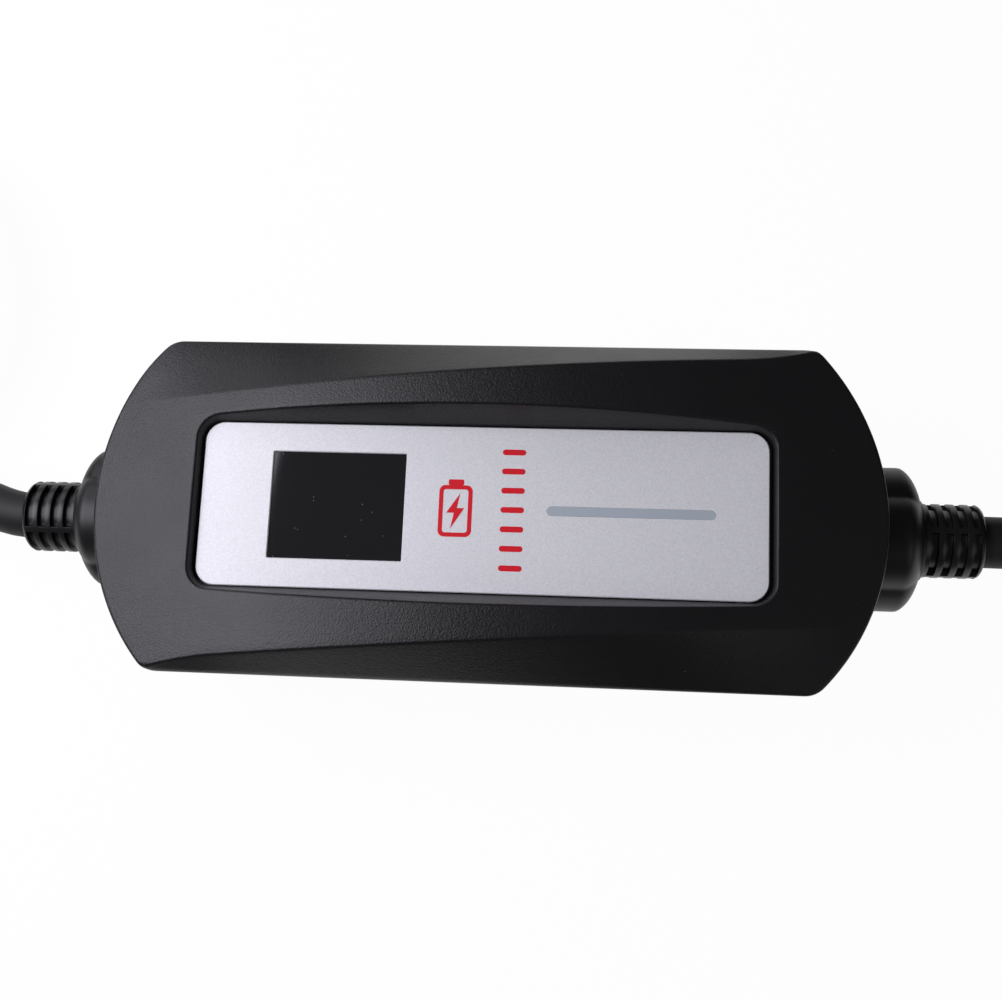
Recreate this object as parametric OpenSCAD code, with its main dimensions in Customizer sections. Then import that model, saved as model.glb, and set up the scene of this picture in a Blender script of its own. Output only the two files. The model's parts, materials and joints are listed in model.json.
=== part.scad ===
// Portable charging lead: a control box with a supply lead on the left and a vehicle lead on the right.
// +X points to the vehicle lead, +Z up. The origin is under the middle of the box, on the surface it lies on.

/* [Housing] */
// Length of the box over its curved ends
box_len = 206; // [200:1:214]
// Width of the box over its straight sides
box_w = 88; // [84:1:96]
// Radius of the curved ends
end_r = 61.5; // [58:0.5:70]
// Radius where a curved end meets a straight side
corner_r = 6.5; // [6:0.5:9]
// Height of the face panel above the base
panel_h = 52.5; // [51:0.5:58]
// How far the long edges lie below the face panel
edge_drop = 1.3; // [0.8:0.1:2]
// How far the crown of the cover rises above the face panel
crown_rise = 10.5; // [9:0.5:13]
// Radius of the crown along the box
crown_r = 330; // [300:5:380]
// Half the length of the round part of the crown, which runs out in straight slopes
crown_half = 60; // [50:1:70]
// Distance of a side facet's crease from the middle line, half way along the box
crease_y = 34.2; // [33:0.1:36]
// How fast a crease moves out along the box
crease_slope = 0.081; // [0.06:0.001:0.09]
// Draft of the side walls
draft_deg = 2.5; // [1.5:0.1:3]
// Thickness of the walls
wall = 2.8; // [2.4:0.1:3.2]
// Thickness of the floor
floor_t = 3; // [2.5:0.1:4]
// Chamfer round the base
base_chamfer = 2; // [1:0.1:2.5]
// Height of the step seal's groove in the lower rim
seal_h = 1; // [0.8:0.1:1.4]
// Width of the seal
seal_w = 1.2; // [1:0.1:1.4]

/* [Face panel] */
// Length of the face panel
panel_len = 146; // [140:1:148]
// Width of the face panel
panel_w = 43; // [42:0.5:46]
// Thickness of the face panel
panel_t = 2; // [1.5:0.1:2.4]
// Corner radius of the face panel
panel_corner_r = 5; // [4:0.5:7]
// Gap round the panel along its long sides
recess_gap = 0.3; // [0.2:0.05:0.6]
// Gap at the panel's ends
recess_end_gap = 0.9; // [0.6:0.1:1.4]
// Outward slope of the recess walls
recess_slope = 0.32; // [0.25:0.01:0.36]
// Thickness of the plate under the panel
plate_t = 2.5; // [2:0.1:3]
// Width of the screen window
screen_w = 35; // [32:0.5:36]
// Height of the screen window
screen_h = 28; // [25:0.5:29]
// Distance of the screen from the panel's left end
screen_margin = 18.5; // [17:0.5:21]
// How far the screen lens lies below the panel's face
screen_sink = 0.5; // [0.1:0.05:0.6]
// Length of the light bar
bar_len = 42.5; // [36:0.5:46]
// Width of the light bar
bar_w = 2.45; // [2:0.05:3]
// Distance of the light bar from the panel's right end
bar_margin = 13.3; // [10:0.1:16]

/* [Glands] */
// Height of the cord entries and of the joint between the housing halves
gland_h = 21.5; // [21.5:0.1:23]
// Radius of the seats that the gland nuts close on
seat_r = 19.5; // [19:0.1:20.5]
// Thickness of a seat
seat_t = 8.2; // [7:0.1:9]
// Reach of a nut's lobes
nut_r = 19.5; // [19:0.1:20.5]
// Radius of one lobe
lobe_r = 13.5; // [13:0.1:14]
// Depth of the valleys between the lobes, from the nut's axis
valley_r = 17.2; // [17:0.1:17.6]
// Length of a nut
nut_len = 13.5; // [12:0.1:14.5]
// Height of the lip round a nut's mouth
nut_lip = 0.8; // [0.4:0.1:1.2]
// Length of a nut's domed front
nut_round = 6.6; // [5:0.1:7]
// Radius of the spigot that passes through a seat
spigot_r = 12.5; // [12:0.1:13]
// How far a spigot stands out of its seat
spigot_out = 4.3; // [4:0.1:5]
// Radius of the flange inside the box
flange_r = 16; // [15:0.1:17]
// Thickness of that flange
flange_t = 3; // [2:0.1:3.5]
// Outer radius of the rubber bush
bush_r = 10; // [9.5:0.1:10.5]
// Length of the rubber bush
bush_len = 6; // [5:0.1:7]

/* [Strain reliefs] */
// Radius of a sleeve
relief_r = 10; // [9.8:0.1:10.8]
// Length of a sleeve outside its nut
relief_len = 16.7; // [16:0.1:18]
// Length of a sleeve past its last slots
slot_end = 1.4; // [1:0.1:2]
// Rounding of a sleeve's free end
relief_round = 1.8; // [1:0.1:2]
// Thickness of the flange that a nut holds
relief_flange_t = 2; // [1.5:0.1:2.4]
// Number of slot rows
slot_rows = 4; // [3:1:4]
// Number of slots round a row
slot_count = 4; // [4:1:6]
// Width of a slot
slot_w = 2; // [1.6:0.1:2.2]
// Depth of a slot
slot_depth = 1.7; // [1:0.1:2]
// Distance from one row to the next
slot_pitch = 3.7; // [3.4:0.1:3.9]
// Angle of the web between two slots
web_deg = 9; // [6:1:14]

/* [Cords] */
// Diameter of the supply lead's cord
supply_cord_d = 13; // [12.4:0.1:13]
// Diameter of the vehicle lead's cord
cord_d = 14; // [13:0.1:14]
// Distance from one turn of the hank to the next
turn_pitch = 14.2; // [14.2:0.1:15]
// Columns of turns in the hank
hank_columns = 2; // [2:1:2]
// Layers of turns in the hank
hank_layers = 4; // [4:1:4]
// Straight run of the hank
hank_run = 110; // [100:1:116]
// Radius of the middle of the hank's ends
hank_r = 57.1; // [57.1:0.1:60]
// Thickness of the straps
strap_t = 1.6; // [1.2:0.1:1.6]
// Width of the straps
strap_w = 20; // [15:1:25]

/* [Electronics] */
// Length of the main board
board_len = 124; // [120:1:128]
// Width of the main board
board_w = 62; // [60:1:66]
// Thickness of both boards
board_t = 1.6; // [1.2:0.1:2]
// Height of the posts under the main board, above the floor
post_h = 11; // [8:0.5:12]
// Width of the display board
display_board_w = 34; // [33:0.5:36]
// Height of the relays
relay_h = 26; // [20:0.5:27]

/* [Plug] */
// Radius of the plug's front
plug_r = 20; // [19:0.1:20.5]
// Length of the plug's body
plug_len = 40; // [36:1:44]
// Length of the plug's moulded strain relief
plug_relief_len = 20; // [16:1:24]
// Radius of a plug pin
pin_r = 2.4; // [2.4:0.01:2.45]
// Free length of a plug pin
pin_len = 19; // [18:0.5:20]
// Distance from pin to pin
pin_pitch = 19; // [18.8:0.1:19.2]

/* [Vehicle connector] */
// Radius of the handle
handle_r = 18; // [17:0.5:19]
// Radius of the nose
nose_r = 27; // [26.5:0.1:28]
// Distance of the nose's flat from its axis
nose_flat = 20; // [19:0.1:21]
// Wall of the nose
nose_wall = 2.6; // [2.2:0.1:3]
// Length of the boot behind the handle
boot_len = 30; // [26:1:34]
// Length of the handle's two shells
shell_len = 94; // [88:1:100]
// Length of the nose in front of the shells
nose_len = 46; // [42:1:50]
// Wall of the rubber cap
cap_wall = 2.5; // [2:0.1:3]
// Depth of the rubber cap over the nose
cap_len = 30; // [24:1:34]

/* [Hidden] */
$fn = 72;
fit = 0.05;
slack = 0.2;
spot_gap = 0.6;
facet_min = 0.3;
edge_h = panel_h - edge_drop;
crown_h = panel_h + crown_rise;
crown_c = crown_h - crown_r;
crown_a = asin(crown_half / crown_r);
end_c = box_len / 2 - end_r;
corner_y = box_w / 2 - corner_r;
corner_x = end_c + sqrt(pow(end_r - corner_r, 2) - pow(corner_y, 2));
corner_a = atan2(corner_y, corner_x - end_c);
recess_z = panel_h - panel_t;
plate_z = recess_z - plate_t;

// Places along a gland, counted from the middle of the box
seat_x = box_len / 2 - drafted(gland_h);
seat_in = seat_x - seat_t;
spigot_x = seat_x + spigot_out;
nut_x = seat_x + nut_len;
dome_steps = [6.6, 4.8, 3.5, 2.5, 1.7, 1.1, 0.6, 0.25, 0] * nut_round / 6.6;
relief_x = nut_x + relief_len;
tail_in = seat_in - flange_t - 7;
nut_turn = 13;
supply_web_turn = -31;
vehicle_web_turn = -8;
supply_r = supply_cord_d / 2;
cord_r = cord_d / 2;

// Boards and what stands on them
board_z = floor_t + post_h;
board_top = board_z + board_t;
board_hole_x = board_len / 2 - 6;
board_hole_y = board_w / 2 - 5;
terminal_len = 10;
terminal_w = 18;
terminal_h = 14;
pad_h = 0.6;
display_board_top = plate_z - pad_h;
display_board_z = display_board_top - board_t;
screen_x = -panel_len / 2 + screen_margin + screen_w / 2;
bar_x = panel_len / 2 - bar_margin - bar_len / 2;
bezel = 1.5;
display_board_left = screen_x - screen_w / 2 - bezel - 10;
display_board_right = bar_x + bar_len / 2 + 2.3;
display_board_len = display_board_right - display_board_left;
display_board_x = (display_board_left + display_board_right) / 2;
display_hole_x = display_board_len / 2 - 4;
display_hole_y = display_board_w / 2 - 3;
led_h = 0.8;
small_screw_r = 1.05;
small_head_r = 2.4;
case_screw_r = 1.5;
case_head_r = 2.9;
case_head_sink = 8;
boss_r = 4;
boss_inset = [29, 10.5];
boss_x = box_len / 2 - boss_inset[0];
boss_y = box_w / 2 - boss_inset[1];
post_r = 3.5;
case_screw_grip = 10;
relay_len = 30;
relay_w = 16;
relay_left = -42;
relay_sides = [4, -20];
module_size = [48, 24, 20];
module_corner = [-4, 4 - board_w / 2];
capacitor_x = [6, 21];
capacitor_y = board_w / 2 - 12;
capacitor_r = 6;
capacitor_h = 22;
disc_x = -7;
disc_r = 4;
disc_y = [board_w / 2 - 19, board_w / 2 - 10];
sensor_at = [33, board_w / 2 - 17];
sensor_r = 10;
sensor_bore_r = 4.5;
sensor_len = 10;
sensor_foot = [sensor_len, 14, 6];
ribbon_at = [-4, board_w / 2 - 3];
ribbon_w = 16;
ribbon_t = 1;
ribbon_run = ribbon_at[1] - display_board_w / 2 + 4;
ribbon_rise = display_board_z - board_top - 4;

// Cord routes, in round numbers: the supply lead makes one turn of this radius and ends in the plug
turn_r = 56;
turn_c = [-217, 69];
supply_low = 8.1;
supply_high = 21.3;
supply_out = [[-106, 0, 21.5], [-118, 0, 21.5], [-130, 0, 21.5], [-137, 0.6, 21.3], [-143, 2.2, 20.9],
    [-152, 5.5, 19.2], [-164, 9.5, 15.2], [-176, 12, 11.2], [-188, 13, 8.9], [-200, 13, 8.1]];
supply_end = [[-228, 13, 21.3], [-236, 13, 21.4], [-243, 13, 21.5], [-248, 13, 21.5]];
supply_route = concat(supply_out, [for (a = [0:15:360]) turn_point(a)], supply_end);
inlet_route = [[106, 0, 21.5], [118, 0, 21.5], [130, 0, 21.5], [138, 0, 21.2], [150, 0, 19], [162, 0, 15.6],
    [174, 0, 12.2], [186, 0, 9.8], [198, 0, 8.8], [208, 0, 8.6], [219, 0, 8.6]];
outlet_route = [[219, 128, 65.5], [208, 127, 65.5], [197, 124, 65.8], [178, 112, 66.8], [165.5, 94.5, 69],
    [159.5, 74.5, 72], [161, 54, 75.5], [169.5, 35.5, 79.5], [184, 22, 83.5], [201, 15, 86.5], [212, 14, 87.9],
    [222, 14, 87.9]];

// The hank lies past the end of the inlet, with its front run in line with it
hank_start = [219, 0];
hank_thick = hank_columns * turn_pitch;
hank_c = [hank_start[0] + hank_run / 2, hank_start[1] + hank_r + hank_thick / 4];
hank_z = strap_t;
hank_h = hank_layers * turn_pitch;
hank_top = hank_z + hank_h;
strap_gap = 0.1;
notch_len = 80;
tie_w = 16;
tie_half = supply_r + 1.2;
tie_c = [-213, 13.6];

// The plug and the vehicle connector, each from its own rear end
plug_at = [-248, 13, 21.5];
plug_face = plug_relief_len + plug_len;
pin_root = 10;
pin_tip = 2;
clip_t = 1.2;
clip_w = 6;
clip_len = 21;
connector_at = [222, 14, hank_top + nose_r + cap_wall + fit];
collar_r = 16;
boot_r = 12;
boot_in = 12;
shell_front = boot_len + shell_len;
mouth_r = 24;
mouth_depth = 12;
carrier_len = 42;
contact_ring = 15.5;
power_r = 3;
signal_r = 1.5;
sleeve_t = 1;
shell_screw_r = 1.1;
flare_len = 46;
signal_across = 6;
signal_up = 11;
tab_size = [14, 12, 3];
// Places of the contacts in the face of the nose: across, up, and the radius of the pin each takes
contact_places = concat([[0, 0, power_r]],
    [for (a = [0, 180, 240, 300]) [contact_ring * cos(a), contact_ring * sin(a), power_r]],
    [for (s = [-1, 1]) [s * signal_across, signal_up, signal_r]]);

// How far the draft draws the wall in at a height
function drafted(z) = (edge_h - z) * tan(draft_deg);

// Height of the crown at a place along the box
function crown_z(x) = abs(x) < crown_half
    ? crown_c + sqrt(pow(crown_r, 2) - pow(x, 2))
    : crown_c + crown_r * cos(crown_a) - (abs(x) - crown_half) * tan(crown_a);

// One section of a side facet's cutter: it hinges from the straight edge up to the crease
function facet_ring(x, inset) = let(
    cy = crease_y + crease_slope * x,
    cz = crown_z(x),
    dy = box_w / 2 - cy,
    dz = min(edge_h, cz - facet_min) - cz,
    low = -inset,
    top = crown_h + 5)
    [[x, cy - 0.2 * dy, cz - 0.2 * dz + low], [x, cy - 0.2 * dy, top],
     [x, cy + 1.5 * dy, top], [x, cy + 1.5 * dy, cz + 1.5 * dz + low]];

// A place on the supply lead's one turn, which climbs over its own start
function turn_point(a) = let(s = max(0, min(1, (a - 90) / 225)))
    [turn_c[0] - turn_r * sin(a), turn_c[1] - turn_r * cos(a),
     supply_low + (supply_high - supply_low) * s * s * (3 - 2 * s)];

// A ring of points round one place of a route
function unit(v) = v / norm(v);
function heading(p, i) = unit(p[min(i + 1, len(p) - 1)] - p[max(i - 1, 0)]);
function cord_ring(p, i, r, sides) = let(t = heading(p, i), n = unit(cross(t, [0, 0, 1])), b = cross(n, t))
    [for (k = [0:sides - 1]) p[i] + r * (cos(360 * k / sides) * n + sin(360 * k / sides) * b)];

// A solid skinned over rings that all have as many points
module skin(rings) {
    n = len(rings[0]);
    last = len(rings) - 1;
    sides = [for (i = [0:last - 1], k = [0:n - 1]) let(a = i * n + k, b = i * n + (k + 1) % n)
        each [[a, b, b + n], [a, b + n, a + n]]];
    caps = [[for (k = [n - 1:-1:0]) k], [for (k = [0:n - 1]) last * n + k]];
    polyhedron(points = [for (r = rings) each r], faces = concat(sides, caps));
}

module cord(route, r) skin([for (i = [0:len(route) - 1]) cord_ring(route, i, r, 12)]);

// A profile of radius and place along the axis, turned about X
module lathe(profile) rotate([0, 90, 0]) rotate_extrude() polygon(profile);

// A round bar along X from x0 to x1
module bar(x0, x1, r) translate([x0, 0, 0]) rotate([0, 90, 0]) cylinder(h = x1 - x0, r = r);

// A plate with round corners, centred on Z
module plate(x, y, r, h) {
    translate([-x / 2 + r, -y / 2, 0]) cube([x - 2 * r, y, h]);
    translate([-x / 2, -y / 2 + r, 0]) cube([x, y - 2 * r, h]);
    for (sx = [-1, 1], sy = [-1, 1]) translate([sx * (x / 2 - r), sy * (y / 2 - r), 0]) cylinder(h = h, r = r);
}

module at_four(x, y) for (sx = [-1, 1], sy = [-1, 1]) translate([sx * x, sy * y, 0]) children();

module supply_end() rotate([0, 0, 180]) children();

module both_ends() {
    children();
    supply_end() children();
}

// A slice of the box's outline from z0 to z1, drawn in by in0 at its foot and in1 at its head
module outline(z0, z1, in0, in1) {
    h = z1 - z0;
    reach = 3 * corner_r;
    difference() {
        intersection() {
            rotate([90, 0, 90]) linear_extrude(box_len + 2, center = true)
                polygon([[in0 - box_w / 2, z0], [box_w / 2 - in0, z0], [box_w / 2 - in1, z1], [in1 - box_w / 2, z1]]);
            union() {
                for (s = [-1, 1]) translate([s * end_c, 0, z0]) cylinder(h = h, r1 = end_r - in0, r2 = end_r - in1, $fn = 180);
                translate([-end_c, -box_w / 2, z0]) cube([2 * end_c, box_w, h]);
            }
        }
        for (sx = [0, 1], sy = [0, 1]) mirror([sx, 0, 0]) mirror([0, sy, 0]) translate([corner_x, corner_y, z0])
            difference() {
                linear_extrude(h) polygon([[0, 0], [reach * cos(corner_a), reach * sin(corner_a)], [reach, reach], [0, reach]]);
                cylinder(h = h, r1 = corner_r - in0, r2 = corner_r - in1);
            }
    }
}

// Everything under the crown, which is drawn in by inset
module crown(inset) {
    r = crown_r - inset;
    xe = box_len / 2 + 1;
    ze = crown_c + r / cos(crown_a) - xe * tan(crown_a);
    rotate([90, 0, 0]) linear_extrude(box_w + 2, center = true) polygon(concat([[xe, 0], [xe, ze]],
        [for (i = [12:-1:-12]) [r * sin(crown_a * i / 12), crown_c + r * cos(crown_a * i / 12)]], [[-xe, ze], [-xe, 0]]));
}

// What the two side facets take off the cover
module facets(inset) {
    reach = box_len / 2 + 1;
    both_ends() skin([for (i = [0:28]) facet_ring(-reach + 2 * reach * i / 28, inset)]);
}

// The outside of the cover from a height upwards, or the inside of its walls
module cover_form(z0, inset) difference() {
    intersection() {
        union() {
            outline(z0, edge_h, drafted(z0) + inset, inset);
            outline(edge_h, crown_h + 1, inset, inset);
        }
        crown(inset);
    }
    facets(inset);
}

// The recess for the face panel, grown by an amount on all sides, from a height upwards
module recess(z0, grow) {
    hx = panel_len / 2 + recess_end_gap + grow;
    hy = panel_w / 2 + recess_gap + grow;
    r = panel_corner_r + recess_gap + grow;
    h = crown_rise + 2;
    t = recess_slope * h;
    translate([0, 0, z0]) plate(2 * hx, 2 * hy, r, panel_h - z0);
    translate([0, 0, panel_h]) {
        rotate([90, 0, 90]) linear_extrude(2 * (hx - r), center = true) polygon([[-hy, 0], [hy, 0], [hy + t, h], [-hy - t, h]]);
        rotate([90, 0, 0]) linear_extrude(2 * (hy - r), center = true) polygon([[-hx, 0], [hx, 0], [hx + t, h], [-hx - t, h]]);
        at_four(hx - r, hy - r) cylinder(h = h, r1 = r, r2 = r + t);
    }
}

// One half of the seats for the glands, above or below the joint
module gland_seats(z0, z1) intersection() {
    both_ends() translate([0, 0, gland_h]) bar(seat_in, seat_x, seat_r);
    translate([-box_len / 2, -box_w / 2, z0]) cube([box_len, box_w, z1 - z0]);
}

// The holes for the spigots and the flat spots that the nuts close on
module gland_holes() both_ends() translate([0, 0, gland_h]) {
    bar(seat_in - 20, seat_x + 1, spigot_r + fit);
    bar(seat_x, box_len / 2 + 1, nut_r + spot_gap);
}

// The light bar's outline
module slot_bar(grow, h) translate([bar_x, 0, 0]) plate(bar_len + 2 * grow, bar_w + 2 * grow, bar_w / 2 + grow - fit, h);

module upper_housing() color("#1c1c1f") difference() {
    union() {
        difference() {
            cover_form(gland_h, 0);
            difference() {
                cover_form(gland_h - 1, wall);
                recess(plate_z, wall);
            }
            recess(recess_z, 0);
        }
        gland_seats(gland_h, box_len);
        intersection() {
            translate([0, 0, gland_h]) at_four(boss_x, boss_y) cylinder(h = crown_h, r = boss_r);
            cover_form(gland_h, wall / 2);
        }
        translate([display_board_x, 0, display_board_top]) at_four(display_hole_x, display_hole_y) cylinder(h = pad_h + fit, r = 3);
    }
    gland_holes();
    translate([0, 0, gland_h - 1]) at_four(boss_x, boss_y) cylinder(h = 15, r = case_screw_r - 0.1);
    translate([display_board_x, 0, display_board_top - 1]) at_four(display_hole_x, display_hole_y) cylinder(h = pad_h + plate_t, r = small_screw_r);
    translate([screen_x, 0, plate_z - 1]) plate(screen_w + 2 * bezel + 2 * slack, screen_h + 2 * bezel + 2 * slack, 1, plate_t + 2);
    translate([0, 0, plate_z - 1]) slot_bar(slack, plate_t + 2);
}

module seal_ring(in0, in1, z0, z1) difference() {
    outline(z0, z1, drafted(gland_h) + in0, drafted(gland_h) + in0);
    outline(z0 - 1, z1 + 1, drafted(gland_h) + in1, drafted(gland_h) + in1);
    translate([-box_len / 2, -seat_r - 1, z0 - 1]) cube([box_len, 2 * seat_r + 2, z1 - z0 + 2]);
}

module lower_housing() color("#1a1a1d") difference() {
    union() {
        difference() {
            union() {
                outline(0, base_chamfer, drafted(0) + base_chamfer, drafted(base_chamfer));
                outline(base_chamfer, gland_h, drafted(base_chamfer), drafted(gland_h));
            }
            outline(floor_t, gland_h + 1, drafted(floor_t) + wall, drafted(gland_h + 1) + wall);
        }
        gland_seats(0, gland_h);
        translate([0, 0, floor_t - fit]) {
            at_four(boss_x, boss_y) cylinder(h = gland_h - floor_t + fit, r = boss_r);
            at_four(board_hole_x, board_hole_y) cylinder(h = post_h + fit, r = post_r);
        }
    }
    seal_ring((wall - seal_w) / 2, (wall + seal_w) / 2, gland_h - seal_h, gland_h + 1);
    gland_holes();
    translate([0, 0, -1]) at_four(boss_x, boss_y) {
        cylinder(h = gland_h + 2, r = case_screw_r + 0.2);
        cylinder(h = case_head_sink + 1, r = case_head_r + 0.2);
    }
    translate([0, 0, floor_t]) at_four(board_hole_x, board_hole_y) cylinder(h = post_h + 1, r = small_screw_r + fit);
}

module housing_seal() color("#3a3a3a") seal_ring((wall - seal_w) / 2 + fit, (wall + seal_w) / 2 - fit, gland_h - seal_h, gland_h);

module housing_screws() color("silver") at_four(boss_x, boss_y) {
    translate([0, 0, case_head_sink - 2.5]) cylinder(h = 2.5, r = case_head_r);
    translate([0, 0, case_head_sink]) cylinder(h = gland_h + case_screw_grip - case_head_sink, r = case_screw_r - 0.15);
}

module front_panel() color("#d5d5dc") difference() {
    translate([0, 0, recess_z]) plate(panel_len, panel_w, panel_corner_r, panel_t);
    translate([screen_x - screen_w / 2, -screen_h / 2, recess_z - 1]) cube([screen_w, screen_h, panel_t + 2]);
    translate([0, 0, recess_z - 1]) slot_bar(fit, panel_t + 2);
}

module display_lens() color("#232327") translate([screen_x - screen_w / 2 + fit, -screen_h / 2 + fit, recess_z])
    cube([screen_w - 2 * fit, screen_h - 2 * fit, panel_t - screen_sink]);

module light_bar() color("#98a4ae") translate([0, 0, display_board_top + led_h]) slot_bar(0, panel_h - display_board_top - led_h);

module display_module() color("#202024") translate([screen_x, 0, display_board_top])
    plate(screen_w + 2 * bezel, screen_h + 2 * bezel, 1, recess_z - display_board_top - fit);

module display_board() color("#1d5a3a") difference() {
    translate([display_board_x, 0, display_board_z]) plate(display_board_len, display_board_w, 2, board_t);
    translate([display_board_x, 0, display_board_z - 1]) at_four(display_hole_x, display_hole_y) cylinder(h = board_t + 2, r = small_screw_r + slack);
}

module status_leds() color("#f0f0e0") for (i = [-2:2]) translate([bar_x + i * bar_len / 5 - 1.75, -1.4, display_board_top])
    cube([3.5, 2.8, led_h]);

module board_screw(shank) {
    translate([0, 0, -1.6]) cylinder(h = 1.6, r = small_head_r);
    cylinder(h = shank, r = small_screw_r - fit);
}

module display_board_screws() color("silver") translate([display_board_x, 0, display_board_z])
    at_four(display_hole_x, display_hole_y) board_screw(board_t + pad_h + plate_t - 1.2);

module main_board() color("#1d5a3a") difference() {
    translate([0, 0, board_z]) plate(board_len, board_w, 3, board_t);
    translate([0, 0, board_z - 1]) at_four(board_hole_x, board_hole_y) cylinder(h = board_t + 2, r = small_screw_r + slack);
}

module main_board_screws() color("silver") translate([0, 0, board_top]) at_four(board_hole_x, board_hole_y)
    mirror([0, 0, 1]) board_screw(board_t + post_h - 3);

module power_relays() color("#26262a") for (y = relay_sides)
    translate([relay_left, y, board_top]) cube([relay_len, relay_w, relay_h]);

module power_module() color("#2c2c30") translate([module_corner[0], module_corner[1], board_top]) cube(module_size);

module filter_capacitors() color("#2f3f60") for (x = capacitor_x)
    translate([x, capacitor_y, board_top]) cylinder(h = capacitor_h, r = capacitor_r);

module surge_discs() color("#3a6ea5") for (y = disc_y) translate([disc_x, y, board_top + disc_r]) bar(0, disc_r, disc_r);

module current_sensor() color("#2a2a2c") translate([sensor_at[0], sensor_at[1], board_top]) difference() {
    union() {
        translate([0, 0, sensor_r]) bar(0, sensor_len, sensor_r);
        translate([0, -sensor_foot[1] / 2, 0]) cube(sensor_foot);
    }
    translate([0, 0, sensor_r]) bar(-1, sensor_len + 1, sensor_bore_r);
}

module terminal_block(x, wires, pitch, r) translate([x, 0, board_top]) difference() {
    translate([0, -terminal_w / 2, 0]) cube([terminal_len, terminal_w, terminal_h]);
    for (i = [0:wires - 1]) translate([terminal_len / 2, (i - (wires - 1) / 2) * pitch, terminal_h - 4]) cylinder(h = 5, r = r);
}

module supply_terminals() color("#2f6b45") mirror([1, 0, 0]) terminal_block(board_len / 2 - terminal_len - 1, 3, 4, 1.5);

module vehicle_terminals() color("#2f6b45") terminal_block(board_len / 2 - terminal_len - 1, 4, 3.4, 1.2);

module link_cable() color("#8a8a90") translate([ribbon_at[0], ribbon_at[1], board_top]) mirror([0, 1, 0]) {
    cube([ribbon_w, ribbon_t, ribbon_rise]);
    translate([0, 0, ribbon_rise - ribbon_t]) cube([ribbon_w, ribbon_run, ribbon_t]);
    translate([0, ribbon_run - ribbon_t, ribbon_rise - ribbon_t]) cube([ribbon_w, ribbon_t, 4 + ribbon_t]);
}

module gland_body(r) translate([0, 0, gland_h]) lathe([[r + slack, seat_in - flange_t], [flange_r, seat_in - flange_t],
    [flange_r, seat_in], [spigot_r, seat_in], [spigot_r, spigot_x], [bush_r, spigot_x],
    [bush_r, spigot_x - bush_len], [r + slack, spigot_x - bush_len]]);

module gland_bush(r) translate([0, 0, gland_h]) lathe([[r + fit, spigot_x - bush_len], [bush_r - fit, spigot_x - bush_len],
    [bush_r - fit, spigot_x], [r + fit, spigot_x]]);

// Reach of a nut's domed front at a distance behind its face
function dome_r(d) = relief_r + 0.6 + (nut_r - relief_r - 0.3) * pow(1 - pow(1 - d / nut_round, 2), 0.62);

// A nut with four lobes and a domed front, as its thread left it turned
module gland_nut(turn) translate([seat_x, 0, gland_h]) rotate([0, 90, 0]) difference() {
    union() {
        intersection() {
            rotate(turn) linear_extrude(nut_len) {
                for (a = [0:90:270]) rotate(a) translate([nut_r - lobe_r, 0]) circle(lobe_r);
                circle(valley_r);
            }
            rotate_extrude() polygon([[0, 0], [nut_r + 0.5, 0], [nut_r + 0.5, nut_len - nut_round],
                for (d = dome_steps) [dome_r(d), nut_len - d], [0, nut_len]]);
        }
        cylinder(h = nut_len + nut_lip, r = relief_r + 1.2);
    }
    translate([0, 0, -1]) cylinder(h = nut_len + nut_lip + 2, r = relief_r + slack);
    translate([0, 0, -1]) cylinder(h = spigot_out + relief_flange_t + fit + 1, r = spigot_r + fit);
}

// A sleeve round the cord, with rows of slots that let it bend
module strain_relief(turn, r) translate([0, 0, gland_h]) difference() {
    lathe([[r + slack, spigot_x], [spigot_r - slack, spigot_x], [spigot_r - slack, spigot_x + relief_flange_t],
        [relief_r, spigot_x + relief_flange_t], for (a = [0:30:90])
        [relief_r - relief_round * (1 - cos(a)), relief_x - relief_round * (1 - sin(a))], [r + slack, relief_x]]);
    for (i = [0:slot_rows - 1], k = [0:slot_count - 1])
        translate([relief_x - slot_end - slot_w - i * slot_pitch, 0, 0])
            rotate([turn + web_deg / 2 + 360 / slot_count * k, 0, 0]) rotate([0, 90, 0]) rotate_extrude(angle = 360 / slot_count - web_deg)
                translate([relief_r - slot_depth, 0]) square([relief_r, slot_w]);
}

module tail(r) translate([0, 0, gland_h]) bar(tail_in, spigot_x - fit, r);

module wires(count, pitch, r) for (i = [0:count - 1]) translate([0, (i - (count - 1) / 2) * pitch, gland_h])
    bar(board_len / 2 - 1, tail_in, r);

module supply_gland_body() color("#202023") supply_end() gland_body(supply_r);
module vehicle_gland_body() color("#202023") gland_body(cord_r);
module supply_gland_seal() color("#454545") supply_end() gland_bush(supply_r);
module vehicle_gland_seal() color("#454545") gland_bush(cord_r);
module supply_gland_nut() color("#232326") supply_end() gland_nut(-nut_turn);
module vehicle_gland_nut() color("#232326") gland_nut(nut_turn);
module supply_strain_relief() color("#1e1e20") supply_end() strain_relief(supply_web_turn, supply_r);
module vehicle_strain_relief() color("#1e1e20") strain_relief(vehicle_web_turn, cord_r);
module supply_tail() color("#19191b") supply_end() tail(supply_r);
module vehicle_tail() color("#19191b") tail(cord_r);
module supply_wires() color("#7a4a2a") supply_end() wires(3, 4, 1.8);
module vehicle_wires() color("#7a4a2a") wires(4, 3.4, 1.5);

module supply_cord() color("#19191b") cord(supply_route, supply_r);

// A flat strap round a bundle, from one low corner to the other
module strap(w, low, high) translate([-w / 2, 0, 0]) rotate([90, 0, 90]) linear_extrude(w) difference() {
    translate(low - [strap_t, strap_t]) square(high - low + 2 * [strap_t, strap_t]);
    translate(low) square(high - low);
}

module supply_tie() color("#2a2a2c") translate([tie_c[0], tie_c[1], 0])
    strap(tie_w, [-tie_half, supply_low - supply_r], [tie_half, supply_high + supply_r + strap_gap]);

// The plug lies on the left, its pins pointing away from the box
module plug_place() translate(plug_at) rotate([0, 0, 180]) children();

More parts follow.
